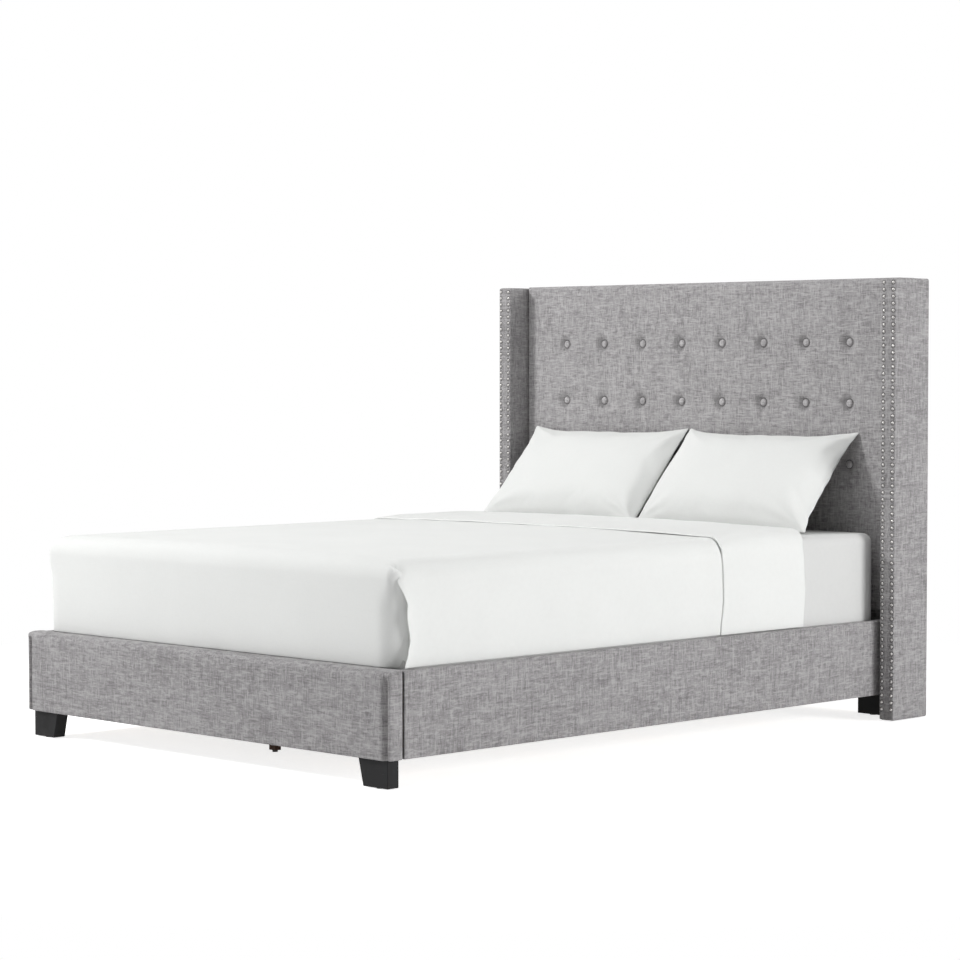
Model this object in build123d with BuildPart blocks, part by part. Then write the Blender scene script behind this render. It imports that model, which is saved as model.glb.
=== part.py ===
"""Wingback bed: tufted headboard between two wings, footboard, side rails, slats and bedding.

The origin is on the floor under the middle of the bed, +Y runs to the headboard and +Z is up.
Left is the -X side and right is the +X side, as seen from the foot of the bed.
"""

from build123d import *
from math import atan2, cos, degrees, pi, radians, sin, tan
import os

os.makedirs("parts", exist_ok=True)

# Lying surface
mattress_width = 1524.0
mattress_length = 2092.0
mattress_thickness = 278.0
mattress_corner_radius = 50.0
mattress_edge_radius = 30.0
foundation_inset = 12.0  # mattress side to foundation side
foundation_height = 180.0
foundation_edge_radius = 12.0
side_gap = 4.0  # mattress side to side rail
foot_gap = 10.0  # mattress end to footboard
head_gap = 30.0  # mattress end to headboard

# Clearances
seat_gap = 0.3  # between soft layers, and under what lifts off
bolt_clearance = 0.3
overrun = 5.0  # how far a cutter runs past a face

# Legs and glides
leg_height = 79.0
leg_width = 115.0
leg_depth = 41.0
leg_taper = 19.0
leg_end_inset = 16.0  # footboard end to leg
leg_front_inset = 15.0  # footboard front to leg
head_leg_offset = 13.0  # how much nearer the middle the head legs stand
head_leg_setback = 18.0  # headboard front to head leg
leg_edge_chamfer = 1.5
glide_height = 3.0
glide_radius = 12.0
leg_bolt_radius = 4.0
leg_bolt_grip = 34.0  # length of the bolt in the leg, and again in the frame
shank_sides = 8  # flats that stand for a round shank and its hole

# Footboard
footboard_height = 239.0
footboard_thickness = 58.0
footboard_front_padding = 14.0
footboard_rear_padding = 3.0
footboard_end_padding = 14.0
footboard_top_padding = 14.0
footboard_bottom_padding = 3.0
footboard_front_radius = 22.0
footboard_rear_radius = 9.0
footboard_corner_radius = 8.0
footboard_bottom_radius = 4.0

# Side rails
rail_height = 236.0
rail_thickness = 30.0
rail_outer_padding = 5.0
rail_inner_padding = 3.0
rail_edge_padding = 4.0
rail_edge_radius = 3.5
rail_foot_gap = 5.0  # shadow gap between rail and footboard
ledger_width = 30.0
ledger_height = 26.0
ledger_lift = 5.0
ledger_end_gap = 20.0

# Corner brackets
bracket_leaf = 60.0
bracket_thickness = 3.0
bracket_height = 120.0
bracket_lift = 52.0  # rail bottom to bracket bottom
bracket_bolt_radius = 4.0
bracket_bolt_length = 24.0
bracket_bolt_spacing = 70.0
bracket_bolt_reach = 40.0  # corner to bolt
bolt_head_radius = 7.0
bolt_head_sides = 6
bolt_head_height = 5.0

# Slats and their centre supports
slat_count = 4
slat_width = 90.0
slat_thickness = 19.0
slat_end_gap = 1.0
slat_first_offset = 241.0  # footboard rear face to the middle of the first slat
slat_pitch = 490.0
slat_edge_chamfer = 2.0
support_width = 30.0
support_depth = 22.0
support_lift = 6.0
support_glide_radius = 8.0

# Headboard
headboard_height = 1398.0
headboard_thickness = 98.0
pad_thickness = 40.0
pad_cap_thickness = 14.0
pad_edge_radius = 15.0
pad_side_radius = 12.0
pad_rear_radius = 6.0
panel_thickness = 12.0
lining_thickness = 2.0
lining_inset = 2.0
stile_width = 70.0
top_rail_height = 70.0
middle_rail_height = 60.0
middle_rail_shares = (0.27, 0.62)  # of the height between base rail and top rail
base_rail_height = 60.0
apron_height = 261.0
apron_setback = 10.0
apron_edge_radius = 4.0

# Tufting
button_columns = 8
button_rows = 3
button_pitch_x = 177.4
button_pitch_z = 196.1
button_drop = 203.3  # headboard top to the first row
button_radius = 12.2
button_height = 7.0
button_rim_height = 4.0
button_crown_radius = 6.5
button_sides = 12
tuft_radius = 40.0
tuft_floor_radius = 14.0
tuft_depth = 10.0
tuft_lip = 0.4

# Wings
wing_top_drop = 3.5  # headboard top down to wing top
wing_thickness = 53.0
wing_depth = 181.0
wing_clearance = 18.0  # side rail to wing
wing_floor_gap = 4.0
wing_padding = 8.0
wing_bottom_padding = 4.0
wing_front_radius = 3.0
wing_rear_radius = 8.0
wing_end_radius = 6.0
wing_brow_radius = 8.0  # where the front turns over the top and under the bottom
wing_stile_width = 40.0
wing_rung_height = 40.0
wing_rung_count = 7
wing_bolt_radius = 4.0
wing_bolt_length = 100.0
wing_bolt_rows = 3

# Nailhead trim
nail_radius = 5.5
nail_crown_radius = 2.6
nail_height = 3.2
nail_sides = 6
nail_pitch = 22.0
nail_inner_margin = 9.0
nail_outer_margin = 8.0
nail_end_margin = 14.0

# Bedding
sheet_thickness = 1.5
sheet_hem_lift = 3.0
coverlet_foot_thickness = 13.6
coverlet_side_thickness = 6.0
coverlet_top_thickness = 16.0
coverlet_crown = 9.0
coverlet_edge_radius = 26.0
coverlet_corner_radius = 34.0
coverlet_hem_gap = 0.5
turndown_length = 394.0
turndown_thickness = 12.0
turndown_side_thickness = 4.0
turndown_nose = 12.0
turndown_nose_radius = 12.0
bare_sheet_length = 382.0  # fold of the top sheet to the head end of the mattress
pleat_depth = 4.0
pleat_top_width = 3.0
pleat_hem_width = 14.0
pleat_slant = 50.0

# Pillows
pillow_height = 427.0
pillow_thickness = 150.0
pillow_seam = 6.0
pillow_lean = 47.8  # degrees from level
pillow_gap = 9.0
pillow_shift = 46.0  # how far the pair lies to the left
pillow_side_room = 89.0  # mattress width left bare beside the pair
pillow_crown_run = 200.0  # how far in from each end the crown levels off
pillow_crown_rise = 3.0  # how far the arcs across the width pass above the arc across the height
pillow_edge_slope = 50.0  # degrees from the seam's plane
pillow_top_draw = 22.0
pillow_foot_draw = 10.0
pillow_side_draw = 14.0

# Places along the bed
well_length = mattress_length + foot_gap + head_gap
overall_length = footboard_thickness + well_length + headboard_thickness
foot_y = -overall_length / 2
well_foot_y = foot_y + footboard_thickness
well_head_y = well_foot_y + well_length
head_y = overall_length / 2
mattress_foot_y = well_foot_y + foot_gap
mattress_head_y = mattress_foot_y + mattress_length

# Places across the bed
well_half_width = mattress_width / 2 + side_gap
rail_outer_x = well_half_width + rail_thickness
wing_inner_x = rail_outer_x + wing_clearance
wing_outer_x = wing_inner_x + wing_thickness

# Places up the bed
rail_top_z = leg_height + rail_height
footboard_top_z = leg_height + footboard_height
ledger_bottom_z = leg_height + ledger_lift
ledger_top_z = ledger_bottom_z + ledger_height
slat_top_z = ledger_top_z + slat_thickness
foundation_bottom_z = slat_top_z + seat_gap
foundation_top_z = foundation_bottom_z + foundation_height
mattress_bottom_z = foundation_top_z + seat_gap
mattress_top_z = mattress_bottom_z + mattress_thickness

# Layers of the headboard, from its front to its rear
panel_front_y = well_head_y + pad_thickness
frame_front_y = panel_front_y + panel_thickness
lining_rear_y = head_y - lining_inset
frame_rear_y = lining_rear_y - lining_thickness
apron_front_y = well_head_y + apron_setback
apron_top_z = leg_height + apron_height
base_rail_top_z = leg_height + base_rail_height
frame_top_z = headboard_height - pad_cap_thickness
stile_inner_x = wing_inner_x - stile_width
wing_top_z = headboard_height - wing_top_drop


def finish(piece, name):
    """Label a finished piece and write its file."""
    piece.part.label = name
    export_step(piece.part, f"parts/{name}.step")


def finish_pair(piece, name):
    """Write a right-hand piece and its mirror image on the left."""
    finish(piece, f"right_{name}")
    with BuildPart() as twin:
        mirror(piece.part, about=Plane.YZ)
    finish(twin, f"left_{name}")


def span(low, high):
    """Middle and length of the stretch from low to high."""
    return (low + high) / 2, high - low


def block(x_span, y_span, z_span, mode=Mode.ADD):
    """A box from its low and high places along X, Y and Z, added to the piece being built."""
    x, width = span(*x_span)
    y, depth = span(*y_span)
    z, height = span(*z_span)
    with Locations((x, y, z)):
        Box(width, depth, height, mode=mode)


def rounded_outline(plane, u_span, v_span, radii, depth, mode=Mode.ADD):
    """Extrude a rectangle whose corners are rounded, for the piece being built.

    The radii run round the outline: low-low, high-low, high-high and low-high corner.
    """
    u, width = span(*u_span)
    v, height = span(*v_span)
    corners = [(u_span[0], v_span[0]), (u_span[1], v_span[0]), (u_span[1], v_span[1]), (u_span[0], v_span[1])]
    with BuildSketch(plane) as outline:
        with Locations((u, v)):
            Rectangle(width, height)
        for corner, radius in zip(corners, radii):
            if radius:
                fillet(outline.vertices().sort_by_distance(corner)[0], radius)
    extrude(outline.sketch, amount=depth, mode=mode)


def soft_block(x_span, y_span, z_span, plan_radii, side_radii, front_radii):
    """A padded block, rounded as seen from above, from its right side and from its front."""
    width, depth, height = (high - low for low, high in (x_span, y_span, z_span))
    with BuildPart() as padded:
        rounded_outline(Plane.XY.offset(z_span[0]), x_span, y_span, plan_radii, height)
        rounded_outline(Plane.YZ.offset(x_span[0]), y_span, z_span, side_radii, width, mode=Mode.INTERSECT)
        rounded_outline(Plane.XZ.offset(-y_span[1]), x_span, z_span, front_radii, depth, mode=Mode.INTERSECT)
    return padded.part


def stud(radius, crown_radius, rim_height, height, sides):
    """Low dome of flat facets, with its base at the origin and its crown up +Z."""
    with BuildPart() as dome:
        with BuildSketch():
            RegularPolygon(radius, sides)
        extrude(amount=height)
        top = dome.faces().sort_by(Axis.Z)[-1]
        chamfer(
            top.edges(),
            length=(radius - crown_radius) * cos(pi / sides),
            length2=height - rim_height,
            reference=top,
        )
    return dome.part


def shank(radius, length):
    """Bolt shank from the origin down -Z."""
    with BuildPart() as bar:
        with BuildSketch():
            RegularPolygon(radius, shank_sides)
        extrude(amount=-length)
    return bar.part


def hex_bolt(radius, length):
    """Hexagon-head bolt with the seat of its head at the origin and its shank down -Z."""
    with BuildPart() as bolt:
        with BuildSketch():
            RegularPolygon(bolt_head_radius, bolt_head_sides)
        extrude(amount=bolt_head_height)
        add(shank(radius, length))
    return bolt.part


def bolt_holes(planes, radius, length):
    """Cut clearance holes through the piece being built, above and below each plane."""
    with BuildPart(mode=Mode.PRIVATE) as hole:
        with BuildSketch():
            RegularPolygon(radius + bolt_clearance, shank_sides)
        extrude(amount=length, both=True)
    with Locations(*planes):
        add(hole.part, mode=Mode.SUBTRACT)


# Legs

leg_outer_x = rail_outer_x - leg_end_inset
leg_front_y = foot_y + leg_front_inset
head_leg_front_y = well_head_y + head_leg_setback
head_leg_outer_x = leg_outer_x - head_leg_offset

# Each row: inner edge of the leg, front of the leg, and the side that tapers, 1 for inner and -1 for outer
leg_places = {
    "foot_leg": (leg_outer_x - leg_width, leg_front_y, 1),
    "head_leg": (head_leg_outer_x - leg_width, head_leg_front_y, -1),
}
leg_centres = []
for name, (inner_x, front_y, taper_side) in leg_places.items():
    outer_x = inner_x + leg_width
    foot_inner_x = inner_x + (leg_taper if taper_side > 0 else 0)
    foot_outer_x = outer_x - (leg_taper if taper_side < 0 else 0)
    centre = ((foot_inner_x + foot_outer_x) / 2, front_y + leg_depth / 2)
    leg_centres.append(centre)
    with BuildPart() as leg:
        with BuildSketch(Plane.XZ.offset(-front_y - leg_depth)):
            with BuildLine():
                Polyline(
                    (foot_inner_x, glide_height),
                    (foot_outer_x, glide_height),
                    (outer_x, leg_height),
                    (inner_x, leg_height),
                    close=True,
                )
            make_face()
        extrude(amount=leg_depth)
        chamfer(leg.edges().group_by(Axis.Z)[0] + leg.edges().group_by(Axis.Z)[1], leg_edge_chamfer)
        bolt_holes([Plane(origin=(*centre, leg_height))], leg_bolt_radius, leg_bolt_grip)
    finish_pair(leg, name)

leg_points = [(side * x, y) for x, y in leg_centres for side in (-1, 1)]
leg_bolt_planes = [Plane(origin=(x, y, leg_height)) for x, y in leg_points]

with BuildPart() as leg_glides:
    with Locations(*leg_points):
        Cylinder(glide_radius, glide_height, align=(Align.CENTER, Align.CENTER, Align.MIN))
finish(leg_glides, "leg_glides")

with BuildPart() as leg_bolts:
    with Locations(*[plane.offset(leg_bolt_grip) for plane in leg_bolt_planes]):
        add(shank(leg_bolt_radius, leg_bolt_grip * 2))
finish(leg_bolts, "leg_bolts")

# Corner brackets and their bolts

bracket_bottom_z = leg_height + bracket_lift
bracket_middle_z = bracket_bottom_z + bracket_height / 2
bolt_heights = [bracket_middle_z + side * bracket_bolt_spacing / 2 for side in (-1, 1)]
foot_bracket_y = well_foot_y + bracket_bolt_reach
head_bracket_y = apron_front_y - bracket_bolt_reach
bolt_x = well_half_width - bracket_bolt_reach
leaf_inner_x = well_half_width - bracket_thickness

rail_bolt_planes = [
    Plane(origin=(leaf_inner_x, y, z), x_dir=(0, 1, 0), z_dir=(-1, 0, 0))
    for y in (foot_bracket_y, head_bracket_y)
    for z in bolt_heights
]
footboard_bolt_planes = [
    Plane(origin=(side * bolt_x, well_foot_y + bracket_thickness, z), x_dir=(1, 0, 0), z_dir=(0, 1, 0))
    for side in (-1, 1)
    for z in bolt_heights
]
apron_bolt_planes = [
    Plane(origin=(side * bolt_x, apron_front_y - bracket_thickness, z), x_dir=(1, 0, 0), z_dir=(0, -1, 0))
    for side in (-1, 1)
    for z in bolt_heights
]


def corner_bracket(y_corner, y_way):
    """Right-hand angle bracket in the corner between the rail and an end board."""
    with BuildPart() as bracket:
        with BuildSketch(Plane.XY.offset(bracket_bottom_z)):
            with BuildLine():
                Polyline(
                    (well_half_width, y_corner),
                    (well_half_width, y_corner + y_way * bracket_leaf),
                    (leaf_inner_x, y_corner + y_way * bracket_leaf),
                    (leaf_inner_x, y_corner + y_way * bracket_thickness),
                    (well_half_width - bracket_leaf, y_corner + y_way * bracket_thickness),
                    (well_half_width - bracket_leaf, y_corner),
                    close=True,
                )
            make_face()
        extrude(amount=bracket_height)
        bolt_holes(rail_bolt_planes, bracket_bolt_radius, bracket_thickness)
        bolt_holes(footboard_bolt_planes + apron_bolt_planes, bracket_bolt_radius, bracket_thickness)
    return bracket


finish_pair(corner_bracket(well_foot_y, 1), "foot_bracket")
finish_pair(corner_bracket(apron_front_y, -1), "head_bracket")

bracket_bolt = hex_bolt(bracket_bolt_radius, bracket_bolt_length)
with BuildPart() as bracket_bolts:
    with Locations(*rail_bolt_planes):
        add(bracket_bolt)
    mirror(about=Plane.YZ)
    with Locations(*footboard_bolt_planes, *apron_bolt_planes):
        add(bracket_bolt)
finish(bracket_bolts, "bracket_bolts")

# Footboard

board_y_span = (foot_y + footboard_front_padding, well_foot_y - footboard_rear_padding)
board_half_width = rail_outer_x - footboard_end_padding
board_z_span = (leg_height + footboard_bottom_padding, footboard_top_z - footboard_top_padding)
foot_leg_bolt_planes, head_leg_bolt_planes = leg_bolt_planes[:2], leg_bolt_planes[2:]

with BuildPart() as footboard_board:
    block((-board_half_width, board_half_width), board_y_span, board_z_span)
    bolt_holes(foot_leg_bolt_planes, leg_bolt_radius, leg_bolt_grip)
    bolt_holes(footboard_bolt_planes, bracket_bolt_radius, bracket_bolt_length)
finish(footboard_board, "footboard_board")

with BuildPart() as footboard_cover:
    add(
        soft_block(
            (-rail_outer_x, rail_outer_x),
            (foot_y, well_foot_y),
            (leg_height, footboard_top_z),
            plan_radii=(footboard_corner_radius,) * 2 + (footboard_bottom_radius,) * 2,
            side_radii=(footboard_bottom_radius,) * 2 + (footboard_rear_radius, footboard_front_radius),
            front_radii=(footboard_bottom_radius,) * 2 + (footboard_corner_radius,) * 2,
        )
    )
    block((-board_half_width, board_half_width), board_y_span, board_z_span, mode=Mode.SUBTRACT)
    bolt_holes(foot_leg_bolt_planes, leg_bolt_radius, leg_bolt_grip)
    bolt_holes(footboard_bolt_planes, bracket_bolt_radius, footboard_rear_padding + overrun)
finish(footboard_cover, "footboard_cover")

# Side rails

rail_y_span = (well_foot_y + rail_foot_gap, apron_front_y)
rail_board_x_span = (well_half_width + rail_inner_padding, rail_outer_x - rail_outer_padding)
rail_board_z_span = (leg_height + rail_edge_padding, rail_top_z - rail_edge_padding)

with BuildPart() as rail_board:
    block(rail_board_x_span, rail_y_span, rail_board_z_span)
    bolt_holes(rail_bolt_planes, bracket_bolt_radius, bracket_bolt_length)
finish_pair(rail_board, "rail_board")

with BuildPart() as rail_cover:
    block((well_half_width, rail_outer_x), rail_y_span, (leg_height, rail_top_z))
    fillet(rail_cover.edges().filter_by(Axis.Y), rail_edge_radius)
    block(rail_board_x_span, rail_y_span, rail_board_z_span, mode=Mode.SUBTRACT)
    bolt_holes(rail_bolt_planes, bracket_bolt_radius, rail_inner_padding + overrun)
finish_pair(rail_cover, "rail_cover")

# Slats on their ledgers, each with a support under its middle

slat_half_length = well_half_width - slat_end_gap
slat_places = [well_foot_y + slat_first_offset + index * slat_pitch for index in range(slat_count)]

with BuildPart() as slat_ledger:
    block(
        (well_half_width - ledger_width, well_half_width),
        (well_foot_y + ledger_end_gap, apron_front_y - ledger_end_gap),
        (ledger_bottom_z, ledger_top_z),
    )
finish_pair(slat_ledger, "slat_ledger")

for number, slat_y in enumerate(slat_places, start=1):
    with BuildPart() as slat:
        block(
            (-slat_half_length, slat_half_length),
            (slat_y - slat_width / 2, slat_y + slat_width / 2),
            (ledger_top_z, slat_top_z),
        )
        chamfer(slat.edges().filter_by(Axis.X), slat_edge_chamfer)
    finish(slat, f"slat_{number}")

    with BuildPart() as support_leg:
        block(
            (-support_width / 2, support_width / 2),
            (slat_y - support_depth / 2, slat_y + support_depth / 2),
            (support_lift, ledger_top_z),
        )
        chamfer(support_leg.edges().filter_by(Axis.Z), leg_edge_chamfer)
    finish(support_leg, f"support_leg_{number}")

with BuildPart() as support_glides:
    with Locations(*[(0, y) for y in slat_places]):
        Cylinder(support_glide_radius, support_lift, align=(Align.CENTER, Align.CENTER, Align.MIN))
finish(support_glides, "support_glides")

# Headboard frame, from its base rail up

with BuildPart() as headboard_base_rail:
    block((-wing_inner_x, wing_inner_x), (panel_front_y, frame_rear_y), (leg_height, base_rail_top_z))
    bolt_holes(head_leg_bolt_planes, leg_bolt_radius, leg_bolt_grip)
finish(headboard_base_rail, "headboard_base_rail")

wing_bolt_y = (frame_front_y + frame_rear_y) / 2
wing_bolt_pitch = (frame_top_z - base_rail_top_z) / wing_bolt_rows
wing_bolt_heights = [base_rail_top_z + (row + 1 / 2) * wing_bolt_pitch for row in range(wing_bolt_rows)]
wing_bolt_planes = [
    Plane(origin=(stile_inner_x, wing_bolt_y, z), x_dir=(0, 1, 0), z_dir=(-1, 0, 0))
    for z in wing_bolt_heights
]

with BuildPart() as headboard_stile:
    block((stile_inner_x, wing_inner_x), (frame_front_y, frame_rear_y), (base_rail_top_z, frame_top_z))
    bolt_holes(wing_bolt_planes, wing_bolt_radius, wing_bolt_length)
finish_pair(headboard_stile, "headboard_stile")

top_rail_bottom_z = frame_top_z - top_rail_height
with BuildPart() as headboard_top_rail:
    block((-stile_inner_x, stile_inner_x), (frame_front_y, frame_rear_y), (top_rail_bottom_z, frame_top_z))
finish(headboard_top_rail, "headboard_top_rail")

for name, share in zip(("lower", "upper"), middle_rail_shares):
    middle_z = base_rail_top_z + share * (top_rail_bottom_z - base_rail_top_z)
    with BuildPart() as middle_rail:
        block(
            (-stile_inner_x, stile_inner_x),
            (frame_front_y, frame_rear_y),
            (middle_z - middle_rail_height / 2, middle_z + middle_rail_height / 2),
        )
    finish(middle_rail, f"headboard_{name}_rail")

with BuildPart() as headboard_panel:
    block((-wing_inner_x, wing_inner_x), (panel_front_y, frame_front_y), (base_rail_top_z, frame_top_z))
finish(headboard_panel, "headboard_panel")

with BuildPart() as headboard_apron:
    block((-wing_inner_x, wing_inner_x), (apron_front_y, panel_front_y), (leg_height, apron_top_z))
    fillet(headboard_apron.faces().sort_by(Axis.Y)[0].edges().filter_by(Axis.X), apron_edge_radius)
    bolt_holes(head_leg_bolt_planes, leg_bolt_radius, leg_bolt_grip)
    bolt_holes(apron_bolt_planes, bracket_bolt_radius, bracket_bolt_length)
finish(headboard_apron, "headboard_apron")

with BuildPart() as headboard_back_lining:
    block((-wing_inner_x, wing_inner_x), (frame_rear_y, lining_rear_y), (leg_height, frame_top_z))
finish(headboard_back_lining, "headboard_back_lining")

# Tufted pad, with a cap that wraps over the top of the frame

button_points = [
    (x, well_head_y, headboard_height - button_drop - row * button_pitch_z)
    for row in range(button_rows)
    for x in [(column - (button_columns - 1) / 2) * button_pitch_x for column in range(button_columns)]
]
pad_half_width = wing_inner_x - seat_gap
tuft = stud(tuft_radius, tuft_floor_radius, tuft_lip, tuft_depth, button_sides)
tuft_planes = [Plane(origin=point, x_dir=(1, 0, 0), z_dir=(0, 1, 0)) for point in button_points]

with BuildPart() as headboard_pad:
    with BuildSketch(Plane.YZ.offset(-pad_half_width)) as pad_profile:
        with BuildLine():
            Polyline(
                (well_head_y, apron_top_z),
                (panel_front_y, apron_top_z),
                (panel_front_y, frame_top_z),
                (lining_rear_y, frame_top_z),
                (lining_rear_y, headboard_height),
                (well_head_y, headboard_height),
                close=True,
            )
        make_face()
        fillet(pad_profile.vertices().group_by(Axis.Y)[-1].sort_by(Axis.X)[0], pad_edge_radius)
        fillet(pad_profile.vertices().group_by(Axis.Y)[-1].sort_by(Axis.X)[-1], pad_rear_radius)
        fillet(pad_profile.vertices().group_by(Axis.Y)[0].sort_by(Axis.X)[0], pad_rear_radius)
    extrude(amount=pad_half_width * 2)
    rounded_outline(
        Plane.XY.offset(apron_top_z),
        (-pad_half_width, pad_half_width),
        (well_head_y, lining_rear_y),
        (pad_side_radius, pad_side_radius, 0, 0),
        headboard_height - apron_top_z,
        mode=Mode.INTERSECT,
    )
    with Locations(*tuft_planes):
        add(tuft, mode=Mode.SUBTRACT)
finish(headboard_pad, "headboard_pad")

button = stud(button_radius, button_crown_radius, button_rim_height, button_height, button_sides)
with BuildPart() as tufting_buttons:
    with Locations(
        *[
            Plane(origin=(x, y + tuft_depth - seat_gap, z), x_dir=(1, 0, 0), z_dir=(0, -1, 0))
            for x, y, z in button_points
        ]
    ):
        add(button)
finish(tufting_buttons, "tufting_buttons")

# Wings: a ladder frame in a padded cover

wing_rear_y = head_y
wing_front_y = head_y - wing_depth
wing_frame_x_span = (wing_inner_x + wing_padding, wing_outer_x - wing_padding)
wing_frame_y_span = (wing_front_y + wing_padding, wing_rear_y - wing_padding)
wing_frame_z_span = (wing_floor_gap + wing_bottom_padding, wing_top_z - wing_padding)
rung_pitch = (wing_frame_z_span[1] - wing_frame_z_span[0] - wing_rung_height) / (wing_rung_count - 1)

with BuildPart() as wing_frame:
    block(wing_frame_x_span, wing_frame_y_span, wing_frame_z_span)
    for rung in range(wing_rung_count - 1):
        window_bottom_z = wing_frame_z_span[0] + wing_rung_height + rung * rung_pitch
        block(
            wing_frame_x_span,
            (wing_frame_y_span[0] + wing_stile_width, wing_frame_y_span[1] - wing_stile_width),
            (window_bottom_z, window_bottom_z + rung_pitch - wing_rung_height),
            mode=Mode.SUBTRACT,
        )
    bolt_holes(wing_bolt_planes, wing_bolt_radius, wing_bolt_length)
finish_pair(wing_frame, "wing_frame")

with BuildPart() as wing_cover:
    add(
        soft_block(
            (wing_inner_x, wing_outer_x),
            (wing_front_y, wing_rear_y),
            (wing_floor_gap, wing_top_z),
            plan_radii=(wing_front_radius,) * 2 + (wing_rear_radius,) * 2,
            side_radii=(wing_brow_radius, wing_end_radius, wing_end_radius, wing_brow_radius),
            front_radii=(wing_end_radius,) * 4,
        )
    )
    block(wing_frame_x_span, wing_frame_y_span, wing_frame_z_span, mode=Mode.SUBTRACT)
    bolt_holes(wing_bolt_planes, wing_bolt_radius, stile_width + wing_padding + overrun)
finish_pair(wing_cover, "wing_cover")

wing_bolt = hex_bolt(wing_bolt_radius, wing_bolt_length)
with BuildPart() as wing_bolts:
    with Locations(*wing_bolt_planes):
        add(wing_bolt)
    mirror(about=Plane.YZ)
finish(wing_bolts, "wing_bolts")

nail_first_z = wing_floor_gap + nail_end_margin
nail_last_z = wing_top_z - nail_end_margin
nail_rows = int((nail_last_z - nail_first_z) // nail_pitch) + 1

nail_taper = degrees(atan2((nail_radius - nail_crown_radius) * cos(pi / nail_sides), nail_height))

with BuildPart() as nail_head:
    with BuildSketch():
        RegularPolygon(nail_radius, nail_sides)
    extrude(amount=nail_height, taper=nail_taper)

with BuildPart() as wing_nailheads:
    with Locations(
        *[
            Plane(origin=(x, wing_front_y, nail_last_z - row * nail_pitch), x_dir=(1, 0, 0), z_dir=(0, -1, 0))
            for x in (wing_inner_x + nail_inner_margin, wing_outer_x - nail_outer_margin)
            for row in range(nail_rows)
        ]
    ):
        add(nail_head.part)
finish_pair(wing_nailheads, "wing_nailheads")

# Foundation and mattress, which lift out


def rounded_slab(half_width, y_span, z_span, corner_radius, edge_radius):
    """A slab with rounded corners in plan and rounded edges above and below."""
    corner_radii = (corner_radius,) * 4
    edge_radii = (edge_radius,) * 4
    with BuildPart() as slab:
        add(soft_block((-half_width, half_width), y_span, z_span, corner_radii, edge_radii, edge_radii))
    return slab


foundation = rounded_slab(
    mattress_width / 2 - foundation_inset,
    (mattress_foot_y, mattress_head_y),
    (foundation_bottom_z, foundation_top_z),
    mattress_edge_radius,
    foundation_edge_radius,
)
finish(foundation, "foundation")

mattress = rounded_slab(
    mattress_width / 2,
    (mattress_foot_y, mattress_head_y),
    (mattress_bottom_z, mattress_top_z),
    mattress_corner_radius,
    mattress_edge_radius,
)
finish(mattress, "mattress")


def sheet_envelope(growth):
    """The mattress, larger all round by a growth, for the sheet's inner or outer face."""
    return rounded_slab(
        mattress_width / 2 + growth,
        (mattress_foot_y - growth, mattress_head_y + growth),
        (mattress_bottom_z - growth, mattress_top_z + growth),
        mattress_corner_radius + growth,
        mattress_edge_radius + growth,
    )


sheet_growth = seat_gap + sheet_thickness
sheet_top_z = mattress_top_z + sheet_growth
sheet_inside = sheet_envelope(seat_gap)
sheet_outside = sheet_envelope(sheet_growth)
hem_z = mattress_bottom_z + sheet_hem_lift

with BuildPart() as fitted_sheet:
    add(sheet_outside.part)
    add(sheet_inside.part, mode=Mode.SUBTRACT)
    split(bisect_by=Plane.XY.offset(hem_z), keep=Keep.TOP)
finish(fitted_sheet, "fitted_sheet")

# Coverlet and turned-down top sheet


def draped_block(half_width, y_span, z_span, crown, edge_radius, foot_radius, head_radius, corner_radius):
    """Block with a crowned top, rounded upper edges and rounded foot corners in plan."""
    y, depth = span(*y_span)
    bottom_z, edge_z = z_span
    with BuildPart() as drape:
        with BuildSketch(Plane.XZ.offset(-y_span[1])):
            with BuildLine():
                Polyline(
                    (-half_width, edge_z - edge_radius),
                    (-half_width, bottom_z),
                    (half_width, bottom_z),
                    (half_width, edge_z - edge_radius),
                )
                CenterArc((half_width - edge_radius, edge_z - edge_radius), edge_radius, 0, 90)
                ThreePointArc(
                    (half_width - edge_radius, edge_z),
                    (0, edge_z + crown),
                    (-half_width + edge_radius, edge_z),
                )
                CenterArc((-half_width + edge_radius, edge_z - edge_radius), edge_radius, 90, 90)
            make_face()
        extrude(amount=depth)
        with BuildSketch(Plane.XY.offset(bottom_z)) as plan:
            with Locations((0, y)):
                Rectangle(half_width * 2, depth)
            if corner_radius:
                fillet(plan.vertices().group_by(Axis.Y)[0], corner_radius)
        extrude(amount=edge_z + crown + overrun - bottom_z, mode=Mode.INTERSECT)
        with BuildSketch(Plane.YZ.offset(-half_width)) as side:
            with Locations((y, bottom_z)):
                Rectangle(depth, edge_z + crown - bottom_z, align=(Align.CENTER, Align.MIN))
            fillet(side.vertices().group_by(Axis.Y)[-1].sort_by(Axis.X)[0], foot_radius)
            fillet(side.vertices().group_by(Axis.Y)[-1].sort_by(Axis.X)[-1], head_radius)
        extrude(amount=half_width * 2, mode=Mode.INTERSECT)
    return drape


sheet_half_width = mattress_width / 2 + sheet_growth
sheet_foot_y = mattress_foot_y - sheet_growth
fold_y = mattress_head_y - bare_sheet_length
coverlet_head_y = fold_y - turndown_nose
coverlet_hem_z = footboard_top_z + coverlet_hem_gap
coverlet_foot_y = sheet_foot_y - seat_gap - coverlet_foot_thickness
coverlet_half_width = sheet_half_width + seat_gap + coverlet_side_thickness
coverlet_top_z = sheet_top_z + seat_gap + coverlet_top_thickness

# Space the fitted sheet needs inside the layers above it
sheet_space = draped_block(
    sheet_half_width + seat_gap,
    (sheet_foot_y - seat_gap, mattress_head_y),
    (mattress_bottom_z, sheet_top_z + seat_gap),
    seat_gap,
    mattress_edge_radius,
    mattress_edge_radius,
    mattress_edge_radius,
    mattress_corner_radius,
)

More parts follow.
